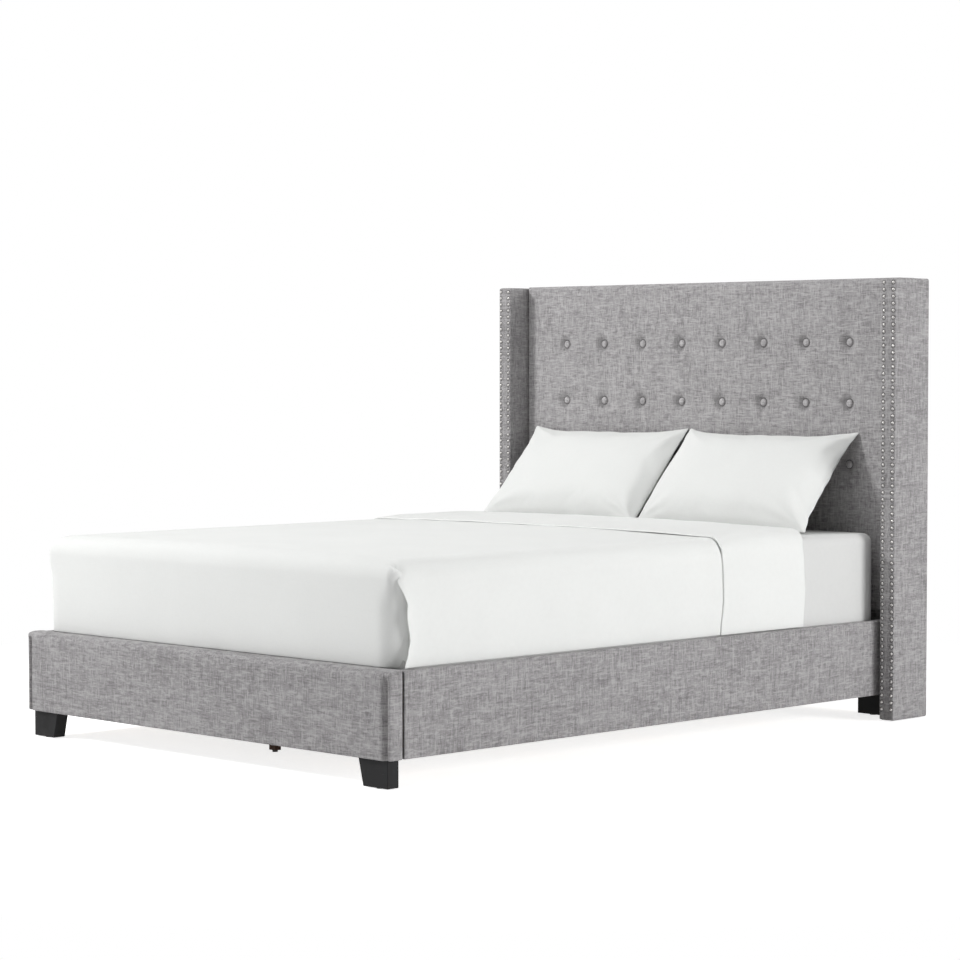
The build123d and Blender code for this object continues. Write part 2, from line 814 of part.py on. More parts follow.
coverlet_outside = draped_block(
    coverlet_half_width,
    (coverlet_foot_y, coverlet_head_y),
    (coverlet_hem_z, coverlet_top_z),
    coverlet_crown,
    coverlet_edge_radius,
    coverlet_edge_radius,
    coverlet_side_thickness,
    coverlet_corner_radius,
)

with BuildPart() as coverlet:
    add(coverlet_outside.part)
    add(sheet_space.part, mode=Mode.SUBTRACT)
    for side in (-1, 1):
        pleat_y = coverlet_foot_y + coverlet_corner_radius
        with BuildSketch(Plane.YZ.offset(side * (coverlet_half_width - pleat_depth))):
            with BuildLine():
                Polyline(
                    (pleat_y, coverlet_top_z - coverlet_edge_radius),
                    (pleat_y + pleat_top_width, coverlet_top_z - coverlet_edge_radius),
                    (pleat_y + pleat_slant + pleat_hem_width, coverlet_hem_z),
                    (pleat_y + pleat_slant, coverlet_hem_z),
                    close=True,
                )
            make_face()
        extrude(amount=side * (pleat_depth + overrun), mode=Mode.SUBTRACT)
finish(coverlet, "coverlet")

# Space the coverlet needs under the turned-down sheet
coverlet_space = draped_block(
    coverlet_half_width + seat_gap,
    (coverlet_foot_y, coverlet_head_y + seat_gap),
    (coverlet_hem_z, coverlet_top_z + seat_gap),
    coverlet_crown,
    coverlet_edge_radius,
    coverlet_edge_radius,
    coverlet_side_thickness,
    coverlet_corner_radius,
)

with BuildPart() as turned_down_sheet:
    add(
        draped_block(
            coverlet_half_width + seat_gap + turndown_side_thickness,
            (fold_y - turndown_length, fold_y),
            (coverlet_hem_z, coverlet_top_z + seat_gap + turndown_thickness),
            coverlet_crown,
            coverlet_edge_radius,
            turndown_side_thickness,
            turndown_nose_radius,
            0,
        ).part
    )
    add(sheet_space.part, mode=Mode.SUBTRACT)
    add(coverlet_space.part, mode=Mode.SUBTRACT)
finish(turned_down_sheet, "turned_down_sheet")

# Pillows, leaning from the sheet to the headboard

pillow_width = (mattress_width - pillow_side_room - pillow_gap) / 2
half_seam = pillow_seam / 2
half_thickness = pillow_thickness / 2
edge_run = (half_thickness - half_seam) / tan(radians(pillow_edge_slope))


def edge_cutter(length, draw):
    """Ring that draws an edge along X in to a shallow arc and bevels it down to the seam."""
    arc_radius = (length**2 / 4 + draw**2) / (draw * 2)
    with BuildPart() as ring:
        with BuildSketch(Plane.YZ):
            with BuildLine():
                Polyline(
                    (overrun, -half_thickness),
                    (-draw - edge_run, -half_thickness),
                    (-draw, -half_seam),
                    (-draw, half_seam),
                    (-draw - edge_run, half_thickness),
                    (overrun, half_thickness),
                    close=True,
                )
            make_face()
        revolve(axis=Axis((0, arc_radius - draw, 0), (0, 0, 1)))
    return ring.part


# A pillow lying flat: +X along its width, +Y from its foot edge to its top edge, +Z out of its front
with BuildPart() as pillow_form:
    with BuildSketch(Plane.YZ.offset(-pillow_width / 2)):
        with BuildLine():
            for face in (-1, 1):
                ThreePointArc(
                    (0, face * half_seam),
                    (pillow_height / 2, face * half_thickness),
                    (pillow_height, face * half_seam),
                )
            Line((0, -half_seam), (0, half_seam))
            Line((pillow_height, -half_seam), (pillow_height, half_seam))
        make_face()
    extrude(amount=pillow_width)
    shoulder_x = pillow_width / 2 - pillow_crown_run
    with BuildSketch(Plane.XZ.offset(-pillow_height)):
        with BuildLine():
            for face in (-1, 1):
                crown_z = face * (half_thickness + pillow_crown_rise)
                Line((-shoulder_x, crown_z), (shoulder_x, crown_z))
                for end in (-1, 1):
                    TangentArc(
                        (end * shoulder_x, crown_z),
                        (end * pillow_width / 2, face * half_seam),
                        tangent=(end, 0),
                    )
            for end in (-1, 1):
                Line((end * pillow_width / 2, -half_seam), (end * pillow_width / 2, half_seam))
        make_face()
    extrude(amount=pillow_height, mode=Mode.INTERSECT)
    with Locations((0, pillow_height)):
        add(edge_cutter(pillow_width, pillow_top_draw), mode=Mode.SUBTRACT)
    with Locations(Location((0, 0, 0), (0, 0, 180))):
        add(edge_cutter(pillow_width, pillow_foot_draw), mode=Mode.SUBTRACT)
    for end in (-1, 1):
        with Locations(Location((end * pillow_width / 2, pillow_height / 2, 0), (0, 0, -90 * end))):
            add(edge_cutter(pillow_height, pillow_side_draw), mode=Mode.SUBTRACT)

lean_cos = cos(radians(pillow_lean))
lean_sin = sin(radians(pillow_lean))
pillow_foot_z = sheet_top_z + seat_gap + half_seam * lean_cos
pillow_foot_y = well_head_y - seat_gap - pillow_height * lean_cos - half_seam * lean_sin

for name, side in (("left", -1), ("right", 1)):
    centre_x = side * (pillow_width + pillow_gap) / 2 - pillow_shift
    with BuildPart() as pillow:
        with Locations(
            Plane(
                origin=(centre_x, pillow_foot_y, pillow_foot_z),
                x_dir=(1, 0, 0),
                z_dir=(0, -lean_sin, lean_cos),
            )
        ):
            add(pillow_form.part)
    finish(pillow, f"{name}_pillow")
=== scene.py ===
"""Wingback bed, dressed: upholstery with tufting and nailheads, bedding, woods, metals and a plain studio.

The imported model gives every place. Lengths are in metres, +Y runs to the headboard and +Z is up.
"""

import math
from functools import partial, reduce

import bmesh
import bpy
from bpy.props import FloatProperty, FloatVectorProperty, IntProperty, PointerProperty
from bpy.types import Operator, Panel, PropertyGroup
from mathutils import Matrix, Vector, noise


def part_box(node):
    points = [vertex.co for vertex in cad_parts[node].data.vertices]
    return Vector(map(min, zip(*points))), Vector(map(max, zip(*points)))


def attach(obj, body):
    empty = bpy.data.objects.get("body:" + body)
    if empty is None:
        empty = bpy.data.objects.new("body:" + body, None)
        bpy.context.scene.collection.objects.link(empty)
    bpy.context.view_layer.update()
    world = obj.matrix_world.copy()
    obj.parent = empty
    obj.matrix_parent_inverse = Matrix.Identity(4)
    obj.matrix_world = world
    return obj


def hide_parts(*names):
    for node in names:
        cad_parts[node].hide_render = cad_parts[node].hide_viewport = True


bl_info = {
    "name": "Wingback Bed",
    "version": (1, 0, 0),
    "blender": (4, 5, 0),
    "location": "View3D > Sidebar > Bed",
    "description": "Dresses the wingback bed and sets up its studio",
    "category": "Object",
}

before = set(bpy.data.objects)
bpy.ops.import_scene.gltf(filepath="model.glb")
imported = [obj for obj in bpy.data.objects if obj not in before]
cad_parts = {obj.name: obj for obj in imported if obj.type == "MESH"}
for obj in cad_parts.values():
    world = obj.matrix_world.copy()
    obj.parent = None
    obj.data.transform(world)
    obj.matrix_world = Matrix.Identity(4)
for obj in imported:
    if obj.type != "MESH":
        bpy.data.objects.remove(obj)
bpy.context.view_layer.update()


# Sizes and colours that a user would change


def length(label, about, value):
    """A length setting in metres."""
    return FloatProperty(name=label, description=about, default=value, unit="LENGTH")


def colour_of(label, about, *rgb):
    """A colour setting."""
    return FloatVectorProperty(
        name=label, description=about, subtype="COLOR", size=4, default=(*rgb, 1), min=0, max=1,
    )


class UpholsterySettings(PropertyGroup):
    linen_light: colour_of("Light thread", "Light threads of the grey linen", 0.425, 0.414, 0.418)
    linen_dark: colour_of("Dark thread", "Dark threads of the grey linen", 0.2, 0.192, 0.196)
    slub_length: length("Slub length", "Usual length of a thick place in a thread", 0.034)
    slub_height: length("Slub height", "Usual height of a thick place in a thread", 0.005)
    button_columns: IntProperty(name="Button columns", description="Buttons in a row", default=8)
    button_rows: IntProperty(name="Button rows", description="Rows of buttons", default=3)
    button_radius: length("Button radius", "Radius of a covered button", 0.0122)
    tuft_depth: length("Tuft depth", "How deep a button pulls the pad in", 0.01)
    tuft_reach: length("Tuft reach", "How far the hollow spreads past a button's rim", 0.03)
    pull_depth: length("Pull depth", "Depth of the upright pulls in the cloth", 0.0026)
    valley_depth: length("Corner valley", "Depth of the valley beside the footboard's corners", 0.015)
    valley_inset: length("Valley inset", "Footboard end to the valley", 0.0125)
    wing_gap: length("Wing gap", "Thin gap between the pad and a wing", 0.004)
    cloth_crown: length("Crown", "How far stretched cloth stands out of a flat face", 0.0015)


class TrimSettings(PropertyGroup):
    nail_rows: IntProperty(name="Nails in a row", description="Nailheads in one upright row", default=62)
    nail_radius: length("Nailhead radius", "Radius of a nailhead", 0.0055)
    nail_height: length("Nailhead height", "How far a nailhead stands out", 0.0032)
    nickel: colour_of("Nickel", "Colour of the nailheads", 0.4, 0.39, 0.38)


class BeddingSettings(PropertyGroup):
    cotton: colour_of("Cotton", "Colour of the coverlet, top sheet and pillowcases", 0.84, 0.85, 0.835)
    fitted_cotton: colour_of("Fitted cotton", "Colour of the fitted sheet", 0.7, 0.704, 0.695)
    edge_radius: length("Edge radius", "Rounding of the bedding's long top edges", 0.055)
    sheet_thickness: length("Sheet thickness", "Thickness of the fitted sheet", 0.0012)
    coverlet_thickness: length("Coverlet thickness", "Thickness of the coverlet's drops", 0.004)
    cuff_thickness: length("Cuff thickness", "Thickness of the turned-down sheet", 0.003)
    crown: length("Crown", "Rise of the coverlet along the middle of the bed", 0.009)
    drop_wave: length("Drop wave", "How far the drops wave at the hem", 0.0035)
    pleat_bend: length("Pleat bend", "Radius of the foot drop's turn into the pleat", 0.075)
    pleat_lip: length("Pleat lip", "How far the side drop's front edge stands out", 0.0135)
    pleat_notch: length("Pleat notch", "How far the pleat's floor stops above the hem", 0.02)
    pleat_lap: length("Pleat lap", "How far the pleat's floor runs behind its lip", 0.026)
    pillow_top_draw: length("Pillow top draw", "How far a pillow's top edge is drawn in", 0.022)
    pillow_foot_draw: length("Pillow foot draw", "How far a pillow's foot edge is drawn in", 0.01)
    pillow_side_draw: length("Pillow side draw", "How far a pillow's outer side is drawn in", 0.016)
    pillow_meeting_draw: length("Pillow meeting draw", "How far the sides that meet are drawn in", 0.001)
    seam_wave: length("Seam wave", "How far a pillow's seam waves", 0.008)
    pillow_swell: length("Pillow swell", "Most that the filling moves the cloth", 0.012)
    pillow_slack: FloatProperty(
        name="Pillow slack", description="Spare cloth in a pillowcase, as a share", default=0.02,
    )
    pillow_lean: FloatProperty(
        name="Pillow lean", description="Slope of the pillows", default=math.radians(47.8), subtype="ANGLE",
    )
    pillow_pressure: FloatProperty(
        name="Fill pressure", description="How hard the filling pushes", default=4.0,
    )


class TimberSettings(PropertyGroup):
    black_lacquer: colour_of("Black lacquer", "Colour of the block legs", 0.014, 0.014, 0.015)
    brown_stain: colour_of("Brown stain", "Colour of the middle legs", 0.085, 0.04, 0.022)
    pine: colour_of("Pine", "Colour of the bare timber", 0.62, 0.43, 0.24)


class StageSettings(PropertyGroup):
    camera_place: FloatVectorProperty(
        name="Camera", description="Where the camera stands", subtype="TRANSLATION", size=3,
        default=(6.1545, -6.1676, 1.1199),
    )
    camera_turn: FloatVectorProperty(
        name="Camera turn", description="How the camera is turned", subtype="EULER", size=3,
        default=(math.radians(87.6666), 0, math.radians(44.9538)),
    )
    lens: FloatProperty(name="Lens", description="Focal length in millimetres", default=105.34)
    lamp_power: FloatProperty(
        name="Lamp power", description="Power of the main lamp in watts", default=360.0,
    )
    sky: FloatProperty(name="Sky", description="Strength of the even light from all round", default=0.19)


# Shaping


def even(low, high, step):
    """Places from low to high, about a step apart."""
    count = max(1, round((high - low) / step))
    return [low + (high - low) * i / count for i in range(count + 1)]


def graded(low, high, step, rim, cuts=5):
    """Places from low to high with closer ones in the rim at each end."""
    start, end = even(low, low + rim, rim / cuts), even(high - rim, high, rim / cuts)
    return start[:-1] + even(low + rim, high - rim, step) + end[1:]


def sliced_box(*places):
    """A box whose edges along X, Y and Z are cut at the given places."""
    bm = bmesh.new()
    low, high = (Vector([p[end] for p in places]) for end in (0, -1))
    bmesh.ops.create_cube(bm, size=1)
    bmesh.ops.scale(bm, vec=high - low, verts=bm.verts)
    bmesh.ops.translate(bm, vec=(low + high) / 2, verts=bm.verts)
    for axis, stops in enumerate(places):
        along = [e for e in bm.edges if abs((e.verts[0].co - e.verts[1].co)[axis]) > 1e-6]
        if len(stops) > 2:
            bmesh.ops.subdivide_edges(bm, edges=along, cuts=len(stops) - 2, use_grid_fill=True)
        for vert in bm.verts:
            share = (vert.co[axis] - low[axis]) / (high[axis] - low[axis])
            vert.co[axis] = stops[round(share * (len(stops) - 1))]
    return bm


def round_edges(bm, axes, low, high, radii):
    """Round the four edges that run along the third axis: low-low, high-low, high-high and low-high."""
    a, b = axes
    for (u, v), radius in zip(((low, low), (high, low), (high, high), (low, high)), radii):
        if not radius:
            continue
        in_u = 1 if u is low else -1
        in_v = 1 if v is low else -1
        for vert in bm.verts:
            run_u = radius - (vert.co[a] - u[a]) * in_u
            run_v = radius - (vert.co[b] - v[b]) * in_v
            if run_u > 0 and run_v > 0:
                pull = max(run_u, run_v) / math.hypot(run_u, run_v)
                vert.co[a] = u[a] + (radius - run_u * pull) * in_u
                vert.co[b] = v[b] + (radius - run_v * pull) * in_v


def rounded_box(low, high, steps, rims, cuts, rounds):
    """A box with closer slices in its rims along each axis, and the edges that are given by axes rounded."""
    bm = sliced_box(*(graded(low[i], high[i], steps[i], rims[i], cuts[i]) for i in range(3)))
    for axes, radii in rounds:
        round_edges(bm, axes, low, high, radii)
    return bm


def drop_faces(bm, test):
    """Take away the faces whose middle passes the test."""
    gone = [f for f in bm.faces if test(f.calc_center_median(), f.normal)]
    bmesh.ops.delete(bm, geom=gone, context="FACES")


def shape(bm, move):
    """Move every point by what the rule gives for its place."""
    for vert in bm.verts:
        vert.co += move(vert.co)


def ease(value, start, end):
    """0 before start, 1 after end, and smooth between them."""
    share = min(1, max(0, (value - start) / (end - start)))
    return share * share * (3 - 2 * share)


def ripple(place, scale, seed=0.0):
    """Smooth random wave between -1 and 1, stretched by a scale for each axis."""
    return noise.noise(Vector((place.x * scale[0] + seed, place.y * scale[1] + seed, place.z * scale[2])))


def border(place, low, high, *axes):
    """Distance to the nearest side of the box along the given axes."""
    return min(min(place[i] - low[i], high[i] - place[i]) for i in axes)


def hump(value, low, high):
    """0 at both ends of a stretch and 1 in its middle."""
    share = min(1, max(0, (value - low) / (high - low)))
    return 4 * share * (1 - share)


def through(value, stops, straight=False):
    """Smooth or straight line through stops, each a place and its value, with places rising."""
    for (start, low), (end, high) in zip(stops, stops[1:]):
        if value <= end:
            share = (value - start) / (end - start) if straight else ease(value, start, end)
            return low + (high - low) * share
    return stops[-1][1]


def add_object(name, data):
    """A new object in the scene. A shape is made a mesh first."""
    if isinstance(data, bmesh.types.BMesh):
        mesh = bpy.data.meshes.new(name)
        data.to_mesh(mesh)
        data = mesh
    made = bpy.data.objects.new(name, data)
    bpy.context.scene.collection.objects.link(made)
    return made


def finish_piece(bm, name, node, material, crease=50, body="bed_frame"):
    """Make the shape a smooth piece that rides on a body and stands for its CAD node."""
    bmesh.ops.recalc_face_normals(bm, faces=bm.faces)
    piece = add_object(name, bm)
    bm.free()
    piece.data.shade_smooth()
    piece.data.set_sharp_from_angle(angle=math.radians(crease))
    piece.data.materials.append(bpy.data.materials[material])
    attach(piece, body)
    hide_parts(node)
    return piece


def thicken(piece, thickness, round_rim=0.0):
    """Give a single surface its thickness, inwards, with a rounded rim."""
    wall = piece.modifiers.new("Thickness", "SOLIDIFY")
    wall.thickness = thickness
    wall.offset = -1
    if round_rim:
        rim = piece.modifiers.new("Rim", "BEVEL")
        rim.width = round_rim
        rim.segments = 2
        rim.limit_method = "ANGLE"
        rim.angle_limit = math.radians(60)


# Materials


def add_node(tree, kind, inputs=None, **settings):
    """Add a node, set its options, and link or set its inputs."""
    node = tree.nodes.new(kind)
    for key, value in settings.items():
        setattr(node, key, value)
    for key, value in (inputs or {}).items():
        if isinstance(value, bpy.types.NodeSocket):
            tree.links.new(value, node.inputs[key])
        else:
            node.inputs[key].default_value = value
    return node


def new_group(name, inputs, outputs):
    """Start a shader node group with named inputs and outputs, and give it with its inputs and its place."""
    group = bpy.data.node_groups.new(name, "ShaderNodeTree")
    for label, kind, default in (("Place", "Vector", None), *inputs):
        socket = group.interface.new_socket(label, in_out="INPUT", socket_type=f"NodeSocket{kind}")
        if default is not None:
            socket.default_value = default
    for label, kind in outputs:
        group.interface.new_socket(label, in_out="OUTPUT", socket_type=f"NodeSocket{kind}")
    given = group.nodes.new("NodeGroupInput").outputs
    return group, given, given["Place"]


def scaled_noise(tree, place, scale, detail=2.0, roughness=0.5):
    """Noise stretched by a scale for each axis, or by one scale for all."""
    scale = scale if isinstance(scale, tuple) else (scale,) * 3
    mapped = add_node(tree, "ShaderNodeMapping", {"Vector": place, "Scale": scale})
    return add_node(
        tree, "ShaderNodeTexNoise",
        {"Vector": mapped.outputs["Vector"], "Scale": 1.0, "Detail": detail, "Roughness": roughness},
    ).outputs["Fac"]


def calc(tree, operation, first, second=0.0, third=0.0):
    """Result of one sum on values or sockets."""
    return add_node(tree, "ShaderNodeMath", {0: first, 1: second, 2: third}, operation=operation).outputs[0]


def total(tree, *values):
    """Sum of values or sockets."""
    return reduce(partial(calc, tree, "ADD"), values)


def product(tree, *values):
    """Product of values or sockets."""
    return reduce(partial(calc, tree, "MULTIPLY"), values)


def split(tree, vector):
    """The three parts of a vector."""
    return add_node(tree, "ShaderNodeSeparateXYZ", {0: vector}).outputs


def remap(tree, value, low, high, to_low=0.0, to_high=1.0):
    """Stretch a value from one range to another and hold it there."""
    return add_node(
        tree, "ShaderNodeMapRange",
        {"Value": value, "From Min": low, "From Max": high, "To Min": to_low, "To Max": to_high},
        clamp=True,
    ).outputs["Result"]


def blend(tree, share, first, second, mode="MIX"):
    """Blend two colours."""
    return add_node(
        tree, "ShaderNodeMix", {0: share, 6: first, 7: second}, data_type="RGBA", blend_type=mode,
    ).outputs[2]


def shaded(tree, colour, tone):
    """A colour made darker or lighter by a grey tone."""
    shade = add_node(tree, "ShaderNodeCombineColor", {0: tone, 1: tone, 2: tone}).outputs[0]
    return blend(tree, 1.0, colour, shade, "MULTIPLY")


def slub_cloth_group(settings):
    """Linen with thick and thin threads both ways, and a fine weave."""
    group, given, place = new_group(
        "slub cloth", (("Light", "Color", None), ("Dark", "Color", None), ("Shade", "Float", 1.0)),
        (("Color", "Color"), ("Height", "Float")),
    )
    long, tall = 1 / settings.slub_length, 1 / settings.slub_height

    def both_ways(along, over, roughness=0.5):
        return (scaled_noise(group, place, scale, 2.0, roughness) for scale in (
            (along, along, over), (over, over, along),
        ))

    across, upright = both_ways(long, tall)
    fine_across, fine_upright = both_ways(long * 2.3, tall * 2.1, 0.6)
    bars, posts = both_ways(long / 5, tall / 3)
    cloud = scaled_noise(group, place, 6.0)
    threads = scaled_noise(group, place, 800.0, 1.0)
    tone = 0.4
    for value, low, high, share in (
        (across, 0.56, 0.66, 0.42), (upright, 0.57, 0.67, 0.4),
        (across, 0.43, 0.33, -0.3), (upright, 0.43, 0.33, -0.28),
        (fine_across, 0.55, 0.7, 0.35), (fine_upright, 0.55, 0.7, 0.3),
        (fine_across, 0.45, 0.3, -0.25), (fine_upright, 0.45, 0.3, -0.25),
        (bars, 0.35, 0.65, 0.16), (posts, 0.35, 0.65, 0.16),
        (cloud, 0.35, 0.65, 0.1), (threads, 0.3, 0.7, 0.16),
    ):
        tone = calc(group, "MULTIPLY_ADD", remap(group, value, low, high), share, tone)
    tone = calc(group, "MAXIMUM", calc(group, "SUBTRACT", tone, 0.18), 0.0)
    tone = calc(group, "MINIMUM", tone, 1.0)
    colour = shaded(group, blend(group, tone, given["Dark"], given["Light"]), given["Shade"])
    height = total(group, fine_across, fine_upright, product(group, threads, 0.6))
    add_node(group, "NodeGroupOutput", {"Color": colour, "Height": height})
    return group


def plain_weave_group():
    """Smooth cotton: fine crossed threads, faint clouding and soft creases."""
    group, given, place = new_group(
        "plain weave", (("Base", "Color", None), ("Thread", "Float", 0.0011)),
        (("Color", "Color"), ("Height", "Float")),
    )
    count = calc(group, "DIVIDE", 2 * math.pi, given["Thread"])
    waves = [calc(group, "SINE", product(group, part, count)) for part in split(group, place)]
    weave = total(group, *(product(group, waves[i], waves[j]) for i, j in ((0, 1), (1, 2), (0, 2))))
    cloud = product(group, scaled_noise(group, place, 5.0, 3.0), 0.05)
    thread = product(group, scaled_noise(group, place, (70.0, 500.0, 500.0)), 0.04)
    cross = product(group, scaled_noise(group, place, (500.0, 70.0, 70.0)), 0.04)
    creases = scaled_noise(group, place, (9.0, 7.0, 6.0), 4.0, 0.6)
    colour = shaded(group, given["Base"], total(group, cloud, thread, cross, 0.935))
    height = total(group, product(group, weave, 0.05), creases)
    add_node(group, "NodeGroupOutput", {"Color": colour, "Height": height})
    return group


def timber_group():
    """Long grain with growth rings, pores and a few knots. The grain runs along the group's Z."""
    group, given, place = new_group(
        "timber grain", (("Base", "Color", None), ("Contrast", "Float", 0.5)),
        (("Color", "Color"), ("Height", "Float")),
    )
    drift = scaled_noise(group, place, (6.0, 6.0, 1.1), 3.0, 0.55)
    parts = split(group, place)
    distance = total(group, product(group, parts[0], 70.0), product(group, parts[1], 95.0))
    rings = calc(group, "SINE", total(group, distance, product(group, drift, 26.0)))
    rings = calc(group, "POWER", calc(group, "MULTIPLY_ADD", rings, 0.5, 0.5), 2.0)
    pores = remap(group, scaled_noise(group, place, (900.0, 900.0, 14.0), 2.0, 0.6), 0.62, 0.8)
    spread = add_node(group, "ShaderNodeMapping", {"Vector": place, "Scale": (5.0, 5.0, 2.2)}).outputs[0]
    knots = add_node(group, "ShaderNodeTexVoronoi", {"Vector": spread, "Scale": 1.0}).outputs["Distance"]
    dark = calc(group, "MAXIMUM", product(group, pores, 0.5), remap(group, knots, 0.07, 0.03))
    dark = calc(group, "MAXIMUM", product(group, rings, 0.5), dark)
    deep = blend(group, 1.0, given["Base"], (0.42, 0.3, 0.2, 1), "MULTIPLY")
    colour = blend(group, product(group, dark, given["Contrast"]), given["Base"], deep)
    height = calc(group, "SUBTRACT", product(group, rings, 0.3), pores)
    add_node(group, "NodeGroupOutput", {"Color": colour, "Height": height})
    return group


def scuff_group():
    """Fine scratches, smudges and dust, as a mask and a roughness change."""
    group, given, place = new_group(
        "scuffs and dust", (("Amount", "Float", 0.5),), (("Mask", "Float"), ("Smudge", "Float")),
    )
    smudge = scaled_noise(group, place, 16.0, 4.0, 0.6)
    scratch = remap(group, scaled_noise(group, place, (40.0, 900.0, 300.0), 2.0, 0.6), 0.68, 0.78)
    low = remap(group, split(group, place)[2], 0.03, 0.003)
    scuffed = product(group, low, remap(group, smudge, 0.5, 0.7))
    mask = product(group, calc(group, "MAXIMUM", scratch, scuffed), given["Amount"])
    add_node(group, "NodeGroupOutput", {"Mask": mask, "Smudge": smudge})
    return group


def new_material(name):
    """Start a material: its nodes, its shader and its Object coordinates."""
    material = bpy.data.materials.new(name)
    material.use_nodes = True
    tree = material.node_tree
    tree.nodes.clear()
    shader = tree.nodes.new("ShaderNodeBsdfPrincipled")
    add_node(tree, "ShaderNodeOutputMaterial", {"Surface": shader.outputs[0]})
    place = tree.nodes.new("ShaderNodeTexCoord").outputs["Object"]
    return tree, shader, place


def add_group(tree, group, place, inputs):
    """Outputs of a shared node group that a material uses."""
    return add_node(tree, "ShaderNodeGroup", {"Place": place, **inputs}, node_tree=group).outputs


def surface(tree, shader, colour, rough, bump, constants=()):
    """Link a colour, a roughness and a bump (height, distance, strength), and set the shader's constants."""
    height, distance, strength = bump
    inputs = {"Height": height, "Distance": distance, "Strength": strength}
    links = {
        "Base Color": colour, "Roughness": rough,
        "Normal": add_node(tree, "ShaderNodeBump", inputs).outputs[0],
    }
    for name, value in links.items():
        tree.links.new(value, shader.inputs[name])
    for name, value in dict(constants).items():
        shader.inputs[name].default_value = value


def near_points(tree, aside, up, reach, core):
    """Mask round a point from its distances aside and up."""
    away = calc(tree, "SQRT", calc(tree, "MULTIPLY_ADD", up, up, product(tree, aside, aside)))
    return remap(tree, away, reach, core)


def from_nearest(tree, part, first, pitch):
    """Distance to the nearest of evenly spaced places."""
    along = calc(tree, "SUBTRACT", part, first - pitch / 2)
    return calc(tree, "SUBTRACT", calc(tree, "FLOORED_MODULO", along, pitch), pitch / 2)


def linen(name, groups, settings, shade=1.0, nails=None, buttons=None):
    """Grey linen upholstery. Round each nail the bump dents the cloth, and round nails and buttons the
    colour is darkened as painted shade.
    """
    tree, shader, place = new_material(name)
    threads = {"Light": settings.linen_light, "Dark": settings.linen_dark, "Shade": shade}
    cloth = add_group(tree, groups["slub"], place, threads)
    colour, height = cloth["Color"], cloth["Height"]
    across, depth, up = split(tree, place)
    side = calc(tree, "ABSOLUTE", across)
    if nails:
        columns, first, last, pitch, reach, front = nails
        row = from_nearest(tree, up, first, pitch)
        nearest = calc(
            tree, "MINIMUM", *(calc(tree, "ABSOLUTE", calc(tree, "SUBTRACT", side, x)) for x in columns),
        )
        ring = product(
            tree, near_points(tree, nearest, row, reach, reach * 0.45),
            remap(tree, depth, front + 0.003, front + 0.001),
            remap(tree, up, first - 0.6 * pitch, first - 0.5 * pitch),
            remap(tree, up, last + 0.6 * pitch, last + 0.5 * pitch),
        )
        # Painted shade: the cloth round each nail is darkened towards near black, standing in for the shade
        # in its dent; the same ring also lowers the bump below.
        colour = blend(tree, product(tree, ring, 0.8), colour, (0.035, 0.032, 0.031, 1))
        height = calc(tree, "SUBTRACT", height, product(tree, ring, 2.0))
    if buttons:
        (first_column, column_pitch), (first_row, row_pitch), last_row, radius = buttons
        near, far = 0.04, 0.05
        inside = product(
            tree, remap(tree, side, far - first_column, near - first_column),
            remap(tree, up, first_row - far, first_row - near),
            remap(tree, up, last_row + far, last_row + near),
        )
        row = from_nearest(tree, up, first_row, row_pitch)
        # Painted shade: a broad dark patch shifted to the left of each button and a tighter dark ring round
        # it, where the tufts' hollows fall in shade; blended towards near black below.
        painted_tuft_shade = 0.0
        for shift, reach, core, strength in ((-0.008, 2.7, 1.0, 0.42), (0, 1.6, 1.1, 0.75)):
            column = from_nearest(tree, across, first_column + shift, column_pitch)
            ring = near_points(tree, column, row, radius * reach, radius * core)
            painted_tuft_shade = calc(tree, "MAXIMUM", painted_tuft_shade, product(tree, ring, strength))
        painted_tuft_shade = product(tree, painted_tuft_shade, inside)
        colour = blend(tree, painted_tuft_shade, colour, (0.06, 0.057, 0.058, 1))
    surface(
        tree, shader, colour, remap(tree, cloth["Height"], 0.8, 1.8, 0.96, 0.84), (height, 0.0006, 0.9),
        {"Specular IOR Level": 0.25, "Sheen Weight": 0.12, "Sheen Roughness": 0.5},
    )


def cotton(name, groups, colour, thread=0.0011, crease=0.0012):
    """White cotton bedding."""
    tree, shader, place = new_material(name)
    cloth = add_group(tree, groups["weave"], place, {"Base": colour, "Thread": thread})
    surface(
        tree, shader, cloth["Color"], remap(tree, cloth["Height"], 0.3, 0.7, 0.8, 0.92),
        (cloth["Height"], crease, 0.6), {"Specular IOR Level": 0.2, "Sheen Weight": 0.1},
    )


def timber(name, groups, colour, turn=(0, 0, 0), contrast=0.55, rough=(0.5, 0.72), gloss=0.5):
    """Wood with its grain along Z, turned by the Mapping to run along the piece."""
    tree, shader, place = new_material(name)
    turned = add_node(tree, "ShaderNodeMapping", {"Vector": place, "Rotation": turn}).outputs[0]
    grain = add_group(tree, groups["timber"], turned, {"Base": colour, "Contrast": contrast})
    wear = add_group(tree, groups["scuff"], place, {"Amount": 0.3})
    worn = blend(tree, 1.0, grain["Color"], (1.25, 1.22, 1.2, 1), "MULTIPLY")
    worn = blend(tree, 0.35, worn, (0.3, 0.28, 0.26, 1))
    surface(
        tree, shader, blend(tree, wear["Mask"], grain["Color"], worn),
        remap(tree, wear["Smudge"], 0.3, 0.7, *rough), (grain["Height"], 0.0003, 0.5),
        {"Specular IOR Level": gloss},
    )


def metal(name, groups, colour, rough=(0.25, 0.45), metallic=1.0, grain=0.0002):
    """Plated, painted or bare metal, and hard plastic when metallic is nought."""
    tree, shader, place = new_material(name)
    wear = add_group(tree, groups["scuff"], place, {"Amount": 0.5})
    duller = blend(tree, 1.0, colour, (0.72, 0.7, 0.68, 1), "MULTIPLY")
    shown = blend(tree, wear["Mask"], colour, duller)
    shown = blend(tree, remap(tree, wear["Smudge"], 0.35, 0.7, 0.0, 0.35), shown, duller)
    surface(
        tree, shader, shown, remap(tree, wear["Smudge"], 0.3, 0.7, *rough),
        (scaled_noise(tree, place, 700.0), grain, 0.4), {"Metallic": metallic},
    )


